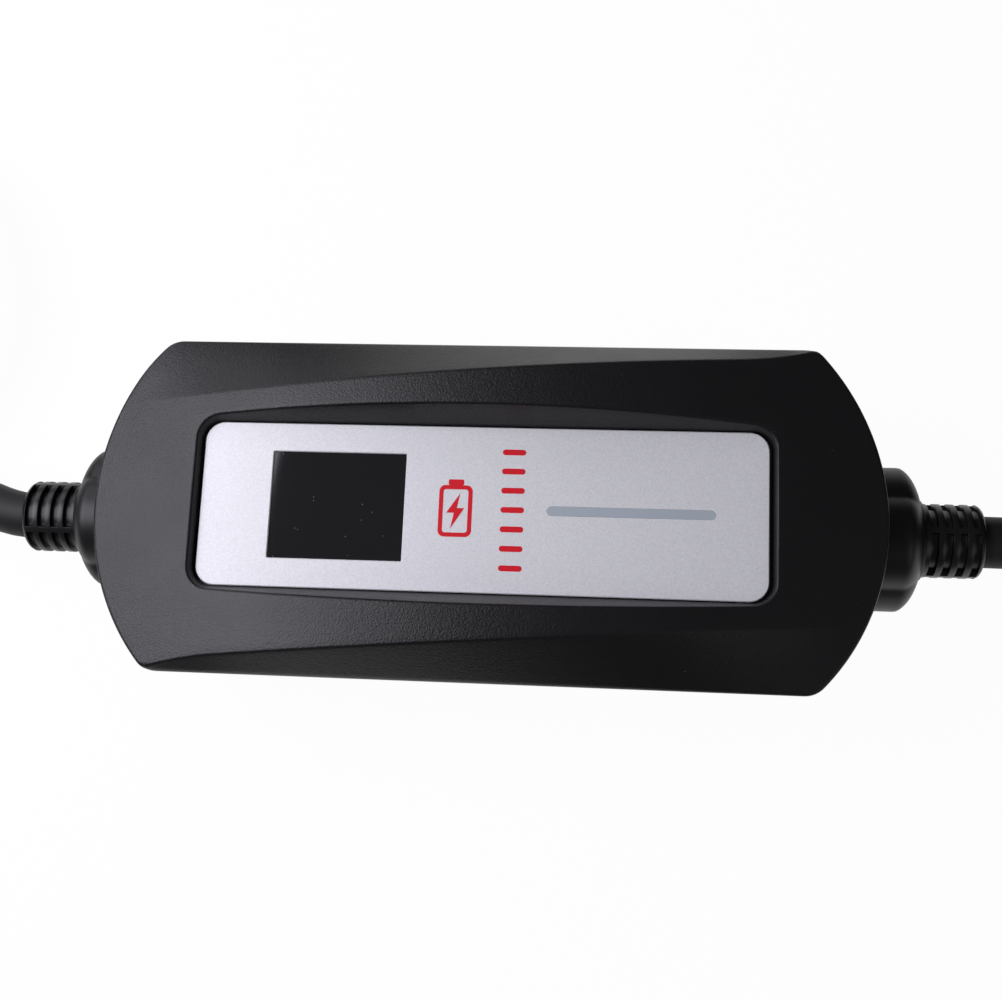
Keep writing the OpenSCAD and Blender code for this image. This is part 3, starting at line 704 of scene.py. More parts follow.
METAL = {"metallic": 1.0, "grain_per_m": 900.0, "bump_mm": 0.01}
BLACK = {"bump": 0.2, "dust": 0.03}
FINISHES = {
    "housing": Finish(
        "Grained black housing", (0.006, 0.006, 0.0068), 0.36,
        grain_per_m=1900.0, bump=1.0, bump_mm=0.12, dust=0.03, specular=0.3,
    ),
    "panel": Finish(
        "Satin silver face", (0.816, 0.816, 0.84), 0.42,
        metallic=0.08, grain_per_m=2600.0, bump=0.3, spread=0.08, fleck=0.4,
    ),
    "lens": Finish(
        "Dark screen lens", (0.013, 0.013, 0.0145), 0.04,
        bump=0.02, spread=0.02, dust=0.08, specks_per_m=520.0, specular=0.2,
    ),
    "light_guide": Finish("Unlit light guide", (0.385, 0.43, 0.478), 0.35, bump=0.05),
    "print_red": Finish(
        "Red print", (0.64, 0.006, 0.016), 0.5, grain_per_m=5200.0, bump=0.1, bump_mm=0.01, specular=0.2
    ),
    "gland": Finish("Smooth black gland", (0.007, 0.007, 0.0076), 0.42, specular=0.3, **BLACK),
    "relief_rubber": Finish("Black relief rubber", (0.006, 0.006, 0.0066), 0.33, specular=0.35, **BLACK),
    "cord": Finish(
        "Black cord sheath", (0.008, 0.008, 0.0085), 0.58,
        grain_per_m=1500.0, bump_mm=0.03, specular=0.3, **BLACK,
    ),
    "seal_rubber": Finish("Seal rubber", (0.05, 0.05, 0.05), 0.7),
    "steel": Finish("Zinc plated steel", (0.58, 0.58, 0.6), 0.35, bump=0.08, spread=0.2, **METAL),
    "display": Finish("Display frame", (0.03, 0.03, 0.034), 0.4),
    "board": Finish("Green board", (0.012, 0.11, 0.05), 0.4, grain_per_m=700.0, bump=0.2, bump_mm=0.05),
    "led": Finish("Lamp body", (0.75, 0.74, 0.62), 0.35),
    "component": Finish("Moulded component case", (0.03, 0.03, 0.033), 0.45),
    "capacitor": Finish("Sleeved can", (0.03, 0.05, 0.12), 0.35, bump=0.1),
    "disc": Finish("Blue dipped disc", (0.02, 0.08, 0.3), 0.3, grain_per_m=600.0),
    "terminal": Finish("Green terminal block", (0.02, 0.16, 0.06), 0.45),
    "ribbon": Finish("Grey ribbon", (0.32, 0.32, 0.34), 0.5, grain_per_m=900.0),
    "wire": Finish("Brown cores", (0.16, 0.06, 0.025), 0.45),
    "strap": Finish(
        "Hook and loop strap", (0.02, 0.02, 0.022), 0.9, grain_per_m=1100.0, bump=0.9, bump_mm=0.35
    ),
    "plug": Finish("Black plug", (0.016, 0.016, 0.017), 0.45, bump=0.3),
    "contact_metal": Finish("Plated brass", (0.72, 0.62, 0.38), 0.38, bump=0.06, spread=0.15, **METAL),
    "contact_silver": Finish("Silvered sleeve", (0.72, 0.72, 0.72), 0.34, bump=0.06, spread=0.15, **METAL),
    "connector": Finish("Grained connector shell", (0.02, 0.02, 0.021), 0.45, bump=0.4, bump_mm=0.03),
    "cap": Finish("Soft rubber cap", (0.02, 0.02, 0.02), 0.6, bump=0.3),
}


class Finisher:
    """Holds the materials and dresses pieces with them."""

    def __init__(self) -> None:
        """Build every finish once."""
        groups = SurfaceGroups()
        self.materials = {slot: finish.material(groups) for slot, finish in FINISHES.items()}

    def dress(self, piece: Piece, slot: str, *nodes: str, record_slot: str = "") -> Piece:
        """Give a piece its finish and its body, and hide the CAD nodes that it stands for.

        Args:
            piece: The finished piece.
            slot: The finish.
            nodes: CAD nodes that the piece stands for.
            record_slot: The record's slot, where its name isn't the finish's; not used.

        Returns:
            The piece.
        """
        piece.data.materials.clear()
        piece.data.materials.append(self.materials[slot])
        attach(piece, "root")
        record_slot or slot
        if nodes:
            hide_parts(*nodes)
        LOG.info("%s: %d faces", piece.name, len(piece.data.polygons))
        return piece

    def dress_nodes(self) -> None:
        """Give every carried-over CAD node the finish of its record slot."""
        for part in frame["record"]["subparts"]:
            node = frame["nodes"].get(part["node"])
            if node is None or not node.data:
                continue
            node.data.materials.clear()
            node.data.materials.append(self.materials[part["material_slot"]])


@dataclass(frozen=True)
class HousingForm:
    """The shape that both halves of the control box share, in millimetres."""

    length: float = 206.0
    width: float = 88.0
    end_r: float = 61.5
    corner_r: float = 6.5
    panel_h: float = 52.5
    edge_h: float = 51.2
    crown_h: float = 63.0
    crown_r: float = 330.0
    crown_half: float = 60.0
    crease_y: float = 34.2
    crease_slope: float = 0.081
    turn_from: float = 66.0
    turn_rate: float = 0.006
    facet_min: float = 0.3
    draft_deg: float = 2.5
    wall: float = 2.8
    joint_h: float = 21.5
    recess_x: float = 73.9
    recess_y: float = 21.8
    recess_r: float = 5.3
    recess_slope: float = 0.32
    recess_floor: float = 50.5
    hub_x: float = 52.0
    side_rays: int = 74
    end_rays: int = 180

    def drafted(self, z: float) -> float:
        """Give how far the draft draws the wall in at a height."""
        return max(0.0, self.edge_h - z) * math.tan(math.radians(self.draft_deg))

    def crown(self, x: float) -> float:
        """Give the height of the crown at a place along the box.

        Args:
            x: The place along the box.

        Returns:
            The height.
        """
        base = self.crown_h - self.crown_r
        if abs(x) < self.crown_half:
            return base + math.sqrt(self.crown_r**2 - x * x)
        angle = math.asin(self.crown_half / self.crown_r)
        return base + self.crown_r * math.cos(angle) - (abs(x) - self.crown_half) * math.tan(angle)

    def crease(self, along: float) -> float:
        """Give how far out the crease lies, turning to the corner at its narrow end."""
        turn = max(0.0, along - self.turn_from) ** 2
        return self.crease_y + self.crease_slope * along + self.turn_rate * turn

    def past_crease(self, x: float, y: float) -> float:
        """Give how far a point lies outside the crease on its side."""
        side = 1.0 if y >= 0 else -1.0
        return side * y - self.crease(side * x)

    def top(self, x: float, y: float) -> float:
        """Give the height of the cover's crown or facet at a point.

        Args:
            x: Its place along the box.
            y: Its place across the box.

        Returns:
            The height.
        """
        crown = self.crown(x)
        past = self.past_crease(x, y)
        if past <= 0:
            return crown
        side = 1.0 if y >= 0 else -1.0
        across = max(self.facet_min, self.width / 2 - self.crease(side * x))
        foot = min(self.edge_h, crown - self.facet_min)
        return crown + (foot - crown) * past / across

    def holds(self, x: float, y: float, inset: float) -> bool:
        """Say whether the outline, drawn in by an inset, holds a point.

        Args:
            x: Its place along the box.
            y: Its place across the box.
            inset: How far the outline is drawn in.

        Returns:
            Whether it does.
        """
        x, y = abs(x), abs(y)
        if y > self.width / 2 - inset:
            return False
        centre = self.length / 2 - self.end_r
        if x > centre and math.hypot(x - centre, y) > self.end_r - inset:
            return False
        corner_y = self.width / 2 - self.corner_r
        corner_x = centre + math.sqrt((self.end_r - self.corner_r) ** 2 - corner_y**2)
        dx, dy = x - corner_x, y - corner_y
        if dx > 0 and dy > dx * corner_y / (corner_x - centre):
            return math.hypot(dx, dy) <= self.corner_r - inset
        return True

    def outside_recess(self, x: float, y: float) -> float:
        """Give the distance of a point outside the foot of the recess.

        Args:
            x: Its place along the box.
            y: Its place across the box.

        Returns:
            The distance, less than 0 inside.
        """
        dx = abs(x) - (self.recess_x - self.recess_r)
        dy = abs(y) - (self.recess_y - self.recess_r)
        if dx > 0 and dy > 0:
            return math.hypot(dx, dy) - self.recess_r
        return max(dx, dy) - self.recess_r

    def rays(self) -> list[Point]:
        """Lay rays all round the box from its middle line.

        Returns:
            The place along the middle line and the direction of each ray.
        """
        rays = []
        for side in (1.0, -1.0):
            hub = -side * self.hub_x
            start = side * math.pi / 2
            rays += [(x, 0.0, side) for x in ramp(-hub, hub, self.side_rays + 1)[:-1]]
            turns = ramp(start, start + math.pi, self.end_rays + 1)[:-1]
            rays += [(hub, math.cos(a), math.sin(a)) for a in turns]
        return rays


@dataclass
class GlandSizes:
    """Places and radii of a cord gland, along its axis from the middle of the box."""

    axis_h: float = 21.5
    seat_x: float = 101.7
    seat_r: float = 19.5
    nut_len: float = 13.5
    nut_lip: float = 0.8
    nut_skirt: float = 3.0
    nut_edge: float = 0.4
    lobe_off: float = 6.0
    lobe_r: float = 13.5
    valley_fillet: float = 3.0
    valley_deg: float = 2.6
    dome_len: float = 6.6
    dome_power: float = 0.62
    lip_r: float = 11.2
    lip_edge: float = 0.3
    hole_r: float = 10.2
    relief_start: float = 4.5
    relief_x: float = 131.9
    relief_r: float = 10.0
    relief_round: float = 1.8
    rows: int = 4
    per_turn: int = 4
    slot_w: float = 2.0
    slot_end: float = 1.4
    slot_depth: float = 1.7
    pitch: float = 3.7
    web_deg: float = 9.0
    nut_turn_deg: float = 13.0
    cord_r: dict[End, float] = field(default_factory=lambda: {End.SUPPLY: 6.5, End.VEHICLE: 7.0})
    web_turn_deg: dict[End, float] = field(default_factory=lambda: {End.SUPPLY: -31.0, End.VEHICLE: -8.0})


FAR_MM = 120.0
CREASE_FAR_MM = 400.0
ROUND_STEPS = 6


@dataclass
class Housing:
    """The two halves of the control box."""

    finisher: Finisher
    repeats: SetOnPoints
    form: HousingForm = field(default_factory=HousingForm)
    gland: GlandSizes = field(default_factory=GlandSizes)
    rim_round: float = 0.7
    crease_round: float = 0.5
    edge_round: float = 0.9
    seam_gap: float = 0.05
    seam_bevel: float = 0.35
    seam_lip: float = 0.4
    roof_drop: float = 4.5
    seat_clear: float = 0.6
    seat_edge: float = 0.4
    plate_t: float = 2.5
    screen_hole: Point = (-56.4, -17.6, 16.0)
    bar_hole: Point = (17.0, 59.9, 1.5)
    chamfer: float = 2.0
    floor_t: float = 3.0
    screw_x: float = 74.0
    screw_y: float = 33.5
    screw_head: float = 2.5
    screw_hole_r: float = 3.1
    screw_hole_edge: float = 0.3
    screw_sink: float = 8.0

    def _edge(self, ray: Point, inset: float) -> float:
        """Give the distance along a ray to the outline drawn in by an inset."""
        hub, cx, cy = ray
        return reach(lambda d: self.form.holds(hub + cx * d, cy * d, inset), FAR_MM)

    def _top_profile(self, ray: Point) -> list[Flat]:
        """Follow the recess wall, the crown, the crease and the facet out along a ray.

        Args:
            ray: Where the ray starts and its direction.

        Returns:
            Distances along the ray and heights.
        """
        form = self.form
        hub, cx, cy = ray

        def top(d: float) -> float:
            """Give the top's height."""
            return form.top(hub + cx * d, cy * d)

        def wall(d: float) -> float:
            """Give the height of the recess wall."""
            return form.panel_h + form.outside_recess(hub + cx * d, cy * d) / form.recess_slope

        def on_top(d: float) -> Flat:
            """Give a point of the top."""
            return (d, top(d))

        foot = reach(lambda d: form.outside_recess(hub + cx * d, cy * d) < 0, FAR_MM)
        edge = self._edge(ray, 0.0)
        inner = edge - self.edge_round
        rim = reach(lambda d: d < foot or wall(d) < top(d), edge)
        past_rim = rim + self.rim_round
        crease = reach(lambda d: form.past_crease(hub + cx * d, cy * d) < 0, CREASE_FAR_MM)
        soft = self.crease_round
        crease = min(crease, inner - soft - 0.1)
        line = [(foot, form.recess_floor), (foot, form.panel_h - 0.3), (foot, form.panel_h)]
        lip = max(foot + 0.02, rim - 0.3 * self.rim_round)
        line += [(d, wall(d)) for d in ramp(foot, lip, 5)[1:-1]]
        line += fillet((lip, wall(lip)), on_top(rim), on_top(past_rim), ROUND_STEPS)
        line += [on_top(d) for d in ramp(past_rim, crease - soft, 8)[1:-1]]
        line += fillet(on_top(crease - soft), on_top(crease), on_top(crease + soft), ROUND_STEPS)
        line += [on_top(d) for d in ramp(crease + soft, inner, 6)[1:-1]]
        line += fillet(on_top(inner), on_top(edge), (edge, top(edge) - self.edge_round), ROUND_STEPS)
        return line

    def _seat(self, x: float, y: float, z: float) -> Point:
        """Press a point of an end wall back to the flat that the nut closes on.

        Args:
            x: Its place along the box.
            y: Its place across the box.
            z: Its height.

        Returns:
            The pressed point.
        """
        near = math.hypot(y, z - self.gland.axis_h) < self.gland.seat_r + self.seat_clear
        if near and abs(x) > self.gland.seat_x:
            x = math.copysign(self.gland.seat_x, x)
        return (x, y, z)

    def upper(self) -> None:
        """Build the cover."""
        form = self.form
        seam, roof = form.joint_h + self.seam_gap, form.recess_floor - self.roof_drop
        rings = []
        for ray in form.rays():
            line = self._top_profile(ray)
            for z in ramp(line[-1][1], form.joint_h + self.seam_lip, 12)[1:]:
                line.append((self._edge(ray, form.drafted(z)), z))
            outer = self._edge(ray, form.drafted(form.joint_h))
            line += [(outer - self.seam_bevel, seam), (outer - form.wall, seam)]
            line += [(self._edge(ray, form.wall + 0.4), roof), (line[0][0], roof)]
            hub, cx, cy = ray
            rings.append([self._seat(hub + cx * d, cy * d, z) for d, z in line])
        piece = make_piece("cover", [loft(rings, wrap_rings=True), *self._shelf()], 60.0)
        self.finisher.dress(piece, "housing", "upper_housing")

    def _shelf(self) -> list[Skin]:
        """Build the plate under the face from bars, left open for the display and the light bar.

        Returns:
            The bars' skins.
        """
        low, high = self.form.recess_floor - self.plate_t, self.form.recess_floor
        x, y = self.form.recess_x - 0.05, self.form.recess_y - 0.05
        (s0, s1, s_half), (b0, b1, b_half) = self.screen_hole, self.bar_hole
        spans = [(-x, s0, -y, y), (s0, s1, s_half, y), (s0, s1, -y, -s_half), (s1, b0, -y, y)]
        spans += [(b0, b1, b_half, y), (b0, b1, -y, -b_half), (b1, x, -y, y)]
        return [box_skin((x0, y0, low), (x1, y1, high)) for x0, x1, y0, y1 in spans]

    def lower(self) -> None:
        """Build the tub, with its screw holes in the base."""
        form, cut = self.form, self.chamfer
        seam, lip = form.joint_h - self.seam_gap, form.joint_h - self.seam_lip
        levels = [(self.floor_t, form.wall), (seam, form.wall), (seam, self.seam_bevel)]
        levels += [(z, 0.0) for z in ramp(lip, cut + 0.4, 7)]
        levels += [(0.4 + 0.25 * cut, 0.35 * cut), (0.15, 0.8 * cut), (0.0, 1.1 * cut)]
        mesh = bmesh.new()
        rows: list[VertRing] = []
        rays = form.rays()
        for z, inset in levels:
            row = []
            for hub, cx, cy in rays:
                d = self._edge((hub, cx, cy), form.drafted(z) + inset)
                row.append(mesh.verts.new((hub + cx * d, cy * d, z)))
            rows.append(row)
        bridge(mesh, rows)
        mesh.faces.new(rows[0])
        base = rim_of(mesh, rows[-1])
        for x, y in self._screw_places():
            base += self._screw_hole(mesh, x, y)
        bmesh.ops.triangle_fill(mesh, use_beauty=True, edges=base)
        self._seat_bosses(mesh)
        self.finisher.dress(finish_mesh("tub", mesh, 50.0), "housing", "lower_housing")

    def _screw_places(self) -> list[Flat]:
        """Give the places of the four case screws."""
        return [(sx * self.screw_x, sy * self.screw_y) for sx in (-1, 1) for sy in (-1, 1)]

    def _screw_hole(self, mesh: Mesh, x: float, y: float) -> list[bmesh.types.BMEdge]:
        """Sink a screw hole in the base and give the edges of its mouth.

        Args:
            mesh: The tub's edited mesh.
            x: The hole's place along the box.
            y: Its place across the box.

        Returns:
            The edges.
        """
        r, edge, deep = self.screw_hole_r, self.screw_hole_edge, self.screw_sink
        rings = []
        for radius, z in ((r + edge, 0.0), (r, edge), (r, deep), (1.0, deep)):
            ring = [(x + radius * math.cos(a), y + radius * math.sin(a), z) for a in full_turn(32)]
            rings.append([mesh.verts.new(p) for p in ring])
        bridge(mesh, rings)
        mesh.faces.new(rings[-1])
        return rim_of(mesh, rings[0])

    def _seat_bosses(self, mesh: Mesh) -> None:
        """Add the lower halves of the seats that the nuts close on.

        Args:
            mesh: The tub's edited mesh.
        """
        end, r, edge = self.gland.seat_x, self.gland.seat_r, self.seat_edge
        top = self.form.joint_h - self.seam_gap
        for sign in (-1, 1):
            rings = []
            for x, radius in ((end - 4.0, r), (end - edge, r), (end, r - edge)):
                ring = []
                for a in ramp(math.pi, 2 * math.pi, 33):
                    z = self.gland.axis_h + radius * math.sin(a)
                    ring.append(mesh.verts.new((sign * x, radius * math.cos(a), min(z, top))))
                rings.append(ring)
            bridge(mesh, rings)
            mesh.faces.new(rings[0])
            mesh.faces.new(rings[-1])

    def screws(self) -> None:
        """Build the four screws that hold the tub to the cover."""
        deep, end = self.screw_head, 26.0
        profile = [(0.0, 0.0), (0.0, 2.2), (0.3, 2.7), (0.9, 2.9), (deep, 2.9), (deep, 1.35)]
        unit = make_piece("housing_screw", [lathe([*profile, (end, 1.35), (end, 0.0)], 32)])
        for y, z in ((1.6, 0.3), (0.3, 1.6)):
            carve(unit, make_piece("driver_slot", [box_skin((-0.2, -y, -z), (1.2, y, z))]))
        for vert in unit.data.vertices:
            x, y, z = vert.co
            vert.co = (y, z, x)
        unit.data.flip_normals()
        places = [(x, y, self.screw_sink - deep) for x, y in self._screw_places()]
        piece = self.repeats.repeat("case_screws", unit, places, self.finisher.materials["steel"])
        self.finisher.dress(piece, "steel", "housing_screws")


@dataclass
class FacePanel:
    """The silver face with its screen, its light bar and its plain red print."""

    finisher: Finisher
    repeats: SetOnPoints
    length: float = 146.0
    width: float = 43.0
    thick: float = 2.0
    height: float = 52.5
    corner_r: float = 5.0
    screen: Flat = (35.0, 28.0)
    screen_x: float = -37.0
    lens_sink: float = 0.5
    bar: Flat = (42.5, 2.45)
    bar_x: float = 38.45
    bar_deep: float = 4.3
    bar_gap: float = 0.02
    bevel: float = 0.22
    print_t: float = 0.04
    print_edge: float = 0.005
    sign_at: Flat = (-6.2, -0.6)
    sign: Flat = (8.6, 13.4)
    sign_line: float = 1.1
    levels_x: float = 8.4
    levels_reach: float = 15.0
    levels: int = 7

    def _screen_line(self, grow: float) -> list[Flat]:
        """Outline the screen window."""
        half_x, half_y = self.screen[0] / 2 + grow, self.screen[1] / 2 + grow
        return shifted(round_rectangle(half_x, half_y, 0.3 + max(grow, 0.0), 3), self.screen_x, 0.0)

    def _bar_line(self, grow: float) -> list[Flat]:
        """Outline the light bar."""
        half = self.bar[1] / 2 + grow
        return shifted(round_rectangle(self.bar[0] / 2 + grow, half, half - 0.001), self.bar_x, 0.0)

    def _outline(self, grow: float) -> list[Flat]:
        """Outline the face."""
        return round_rectangle(self.length / 2 + grow, self.width / 2 + grow, self.corner_r + grow, 10)

    def build(self) -> None:
        """Build the face, what is set in it and what is printed on it."""
        dress, gap, top = self.finisher.dress, self.bar_gap, self.height
        low = top - self.thick
        holes = [(self._screen_line, self.bevel), (lambda grow: self._bar_line(grow + gap), gap)]
        panel = pierced_plate("silver_face", self._outline, holes, low, top, self.bevel)
        lens = pierced_plate(
            "screen_lens", lambda grow: self._screen_line(grow - 0.05), [], low, top - self.lens_sink, 0.1
        )
        guide = pierced_plate("light_guide", self._bar_line, [], top - self.bar_deep, top + gap, 2 * gap)
        dress(panel, "panel", "front_panel")
        dress(lens, "lens", "display_lens")
        dress(guide, "light_guide", "light_bar")
        self._battery()
        self._levels()

    def _flat(self, name: str, outline: list[Flat], holes: Sequence[list[Flat]] = ()) -> Piece:
        """Lay a thin print with an outline on the face."""
        return pierced_plate(
            name,
            lambda grow: outline,
            [(lambda grow, hole=hole: hole, self.print_edge) for hole in holes],
            self.height - 0.01,
            self.height + self.print_t,
            self.print_edge,
        )

    def _battery(self) -> None:
        """Print a plain battery sign with a bolt in it."""
        half_x, half_y, line = self.sign[0] / 2, self.sign[1] / 2, self.sign_line
        case = shifted(round_rectangle(half_x, half_y, 1.6, 6), *self.sign_at)
        inner = shifted(round_rectangle(half_x - line, half_y - line, 0.7, 6), *self.sign_at)
        cap = shifted(round_rectangle(2.0, 0.75, 0.4, 4), 0.0, half_y + 0.75)
        bolt = [(1.1, 4.6), (-2.3, -0.5), (-0.35, -0.5), (-1.1, -4.6), (2.3, 0.75), (0.4, 0.75)]
        piece = self._flat("battery_print", case, [inner])
        extras = {"battery_cap": cap, "battery_bolt": bolt}
        join(piece, [self._flat(name, shifted(shape, *self.sign_at)) for name, shape in extras.items()])
        self.finisher.dress(piece, "print_red", record_slot="panel")

    def _levels(self) -> None:
        """Print a column of short level bars."""
        unit = self._flat("level_bar", round_rectangle(3.0, 0.75, 0.7, 4))
        for vert in unit.data.vertices:
            vert.co.z -= self.height * MM
        rows = ramp(-self.levels_reach, self.levels_reach, self.levels)
        places = [(self.levels_x, y, self.height) for y in rows]
        piece = self.repeats.repeat("level_print", unit, places, self.finisher.materials["print_red"])
        self.finisher.dress(piece, "print_red", record_slot="panel")


DOME_SHARES = (1.0, 0.86, 0.73, 0.61, 0.5, 0.41, 0.32, 0.24, 0.18, 0.12, 0.07)


@dataclass
class Gland:
    """A lobed nut and a slotted sleeve where a cord leaves the box."""

    finisher: Finisher
    end: End
    sizes: GlandSizes = field(default_factory=GlandSizes)

    @property
    def label(self) -> str:
        """Give the end's name as it stands in the names of pieces."""
        return self.end.name.lower()

    def _lobe(self, angle: float) -> float:
        """Give the nut's reach at an angle from a lobe, with a fillet in each valley.

        Args:
            angle: The angle.

        Returns:
            The reach.
        """
        off, r, soft = self.sizes.lobe_off, self.sizes.lobe_r, self.sizes.valley_fillet
        quarter = math.pi / 2
        a = (angle + quarter / 2) % quarter - quarter / 2
        half = off * math.sqrt(0.5)
        hub = half + math.sqrt((r + soft) ** 2 - half * half)
        b = quarter / 2 - abs(a)
        if hub * math.sin(b) < soft and b < math.radians(self.sizes.valley_deg):
            return hub * math.cos(b) - math.sqrt(soft * soft - (hub * math.sin(b)) ** 2)
        return off * math.cos(a) + math.sqrt(r * r - (off * math.sin(a)) ** 2)

    def _dome(self, behind: float) -> float:
        """Give the reach of the nut's domed front at a distance behind its face.

        Args:
            behind: The distance.

        Returns:
            The reach.
        """
        s = self.sizes
        full = s.lobe_off + s.lobe_r - s.relief_r - 0.3
        return s.relief_r + 0.6 + full * (1 - (1 - behind / s.dome_len) ** 2) ** s.dome_power

    def nut(self) -> None:
        """Build the nut."""
        s = self.sizes
        face, full, edge = s.seat_x + s.nut_len, s.lobe_off + s.lobe_r, s.lip_edge
        turn = math.radians(s.nut_turn_deg) * self.end.value
        angles = full_turn(180)
        lobes = [(self._lobe(a) - s.lip_r) / (full - s.lip_r) for a in angles]

        def ring(x: float, reaches: Sequence[float]) -> Ring:
            """Lay a ring round the axis."""
            return [(x, -r * math.sin(a + turn), r * math.cos(a + turn)) for a, r in zip(angles, reaches)]

        rows = [(s.seat_x, full - s.nut_edge)]
        rows += [(s.seat_x + along, full) for along in (s.nut_edge, s.nut_skirt)]
        for behind in (share * s.dome_len for share in DOME_SHARES):
            rows.append((face - behind, min(full, self._dome(behind))))
        rings = [ring(x, [s.lip_r + (r - s.lip_r) * deep for deep in lobes]) for x, r in rows]
        lip = face + s.nut_lip
        mouth = [(face - 0.15, 12.0), (face, s.lip_r + 0.2), (lip - edge, s.lip_r), (lip, s.lip_r - edge)]
        mouth.append((lip, s.hole_r + edge))
        mouth += [(x, s.hole_r) for x in (lip - edge, face - 4.0, s.seat_x)]
        rings += [ring(x, [r] * len(angles)) for x, r in mouth]
        skin = moved(loft(rings, wrap_rings=True), (0.0, 0.0, s.axis_h), self.end is End.SUPPLY)
        piece = make_piece(f"{self.label}_nut", [skin], 50.0)
        self.finisher.dress(piece, "gland", f"{self.label}_gland_nut")

    def _cells(self) -> tuple[list[float], list[bool]]:
        """Divide the sleeve's round into steps, and say which lie on a slot.

        Returns:
            The angles from the top, and whether a slot follows each.
        """
        s = self.sizes
        step, half = 360.0 / s.per_turn, s.web_deg / 2
        angles, open_cell = [], []
        for k in range(s.per_turn):
            web = s.web_turn_deg[self.end] + k * step
            parts = ramp(web - half, web + half, 4)[:-1]
            slot = ramp(web + half, web + step - half, 12)[:-1]
            angles += [math.radians(a) for a in parts + slot]
            open_cell += [False] * len(parts) + [True] * len(slot)
        return angles, open_cell

    def relief(self) -> None:
        """Build the slotted sleeve."""
        s = self.sizes
        rows = [(s.seat_x + s.relief_start, s.relief_r)]
        for i in reversed(range(s.rows)):
            first = s.relief_x - s.slot_end - s.slot_w - i * s.pitch
            rows += [(first, s.relief_r), (first + s.slot_w, s.relief_r)]
        slots = len(rows)
        for a in map(math.radians, (40, 60, 75, 90)):
            deep = s.relief_round * (1 - math.cos(a))
            rows.append((s.relief_x - s.relief_round * (1 - math.sin(a)), s.relief_r - deep))
        angles, open_cell = self._cells()
        mesh = bmesh.new()
        sign = self.end.value
        grid: dict[tuple[int, int, int], bmesh.types.BMVert] = {}
        for i, (x, outer) in enumerate(rows):
            for layer, r in enumerate((s.cord_r[self.end] + 0.1, s.relief_r - s.slot_depth, outer)):
                for k, a in enumerate(angles):
                    place = (sign * x, -sign * r * math.sin(a), s.axis_h + r * math.cos(a))
                    grid[layer, i, k] = mesh.verts.new(place)
        count, last = len(angles), len(rows) - 1

        def sunk(i: int, k: int) -> bool:
            """Say whether a cell lies on a slot."""
            return i < slots and i % 2 == 1 and open_cell[k % count]

        def wall(a: Face, b: Face, low: int) -> None:
            """Stand a face between two places of the grid."""
            mesh.faces.new((grid[(low, *a)], grid[(low, *b)], grid[(2, *b)], grid[(2, *a)]))

        for k in range(count):
            n = (k + 1) % count
            wall((0, k), (0, n), 0)
            wall((last, k), (last, n), 0)
            for i in range(last):
                j = i + 1
                top = 1 if sunk(i, k) else 2
                mesh.faces.new((grid[top, i, k], grid[top, j, k], grid[top, j, n], grid[top, i, n]))
                mesh.faces.new((grid[0, i, k], grid[0, i, n], grid[0, j, n], grid[0, j, k]))
                if not sunk(i, k):
                    continue
                wall((i, k), (i, n), 1)
                wall((j, k), (j, n), 1)
                if not sunk(i, k - 1):
                    wall((i, k), (j, k), 1)
                if not sunk(i, k + 1):
                    wall((i, n), (j, n), 1)
        bmesh.ops.delete(mesh, geom=[v for v in mesh.verts if not v.link_faces], context="VERTS")
        piece = finish_mesh(f"{self.label}_relief", mesh, 40.0)
        soften(piece, 0.35)
        self.finisher.dress(piece, "relief_rubber", f"{self.label}_strain_relief")


def ribbed(
    length: float, start_r: float, end_r: float, first: float, pitch: float, rib: Sequence[Flat]
) -> list[Flat]:
    """Outline a tapered grip with four ribs.

    Args:
        length: The grip's length.
        start_r: Its radius at the cord.
        end_r: Its radius at the body.
        first: Where the first groove starts.
        pitch: Distance from groove to groove.
        rib: Places along and out from the start of each groove.

    Returns:
        The outline, up to the last rib.
    """
    profile = [(0.0, 0.0), (0.0, start_r - 0.5), (0.5, start_r)]
    for i in range(4):
        x = first + pitch * i
        r = start_r + (end_r - start_r) * x / length
        profile += [(x + along, r + out) for along, out in rib]
    return profile


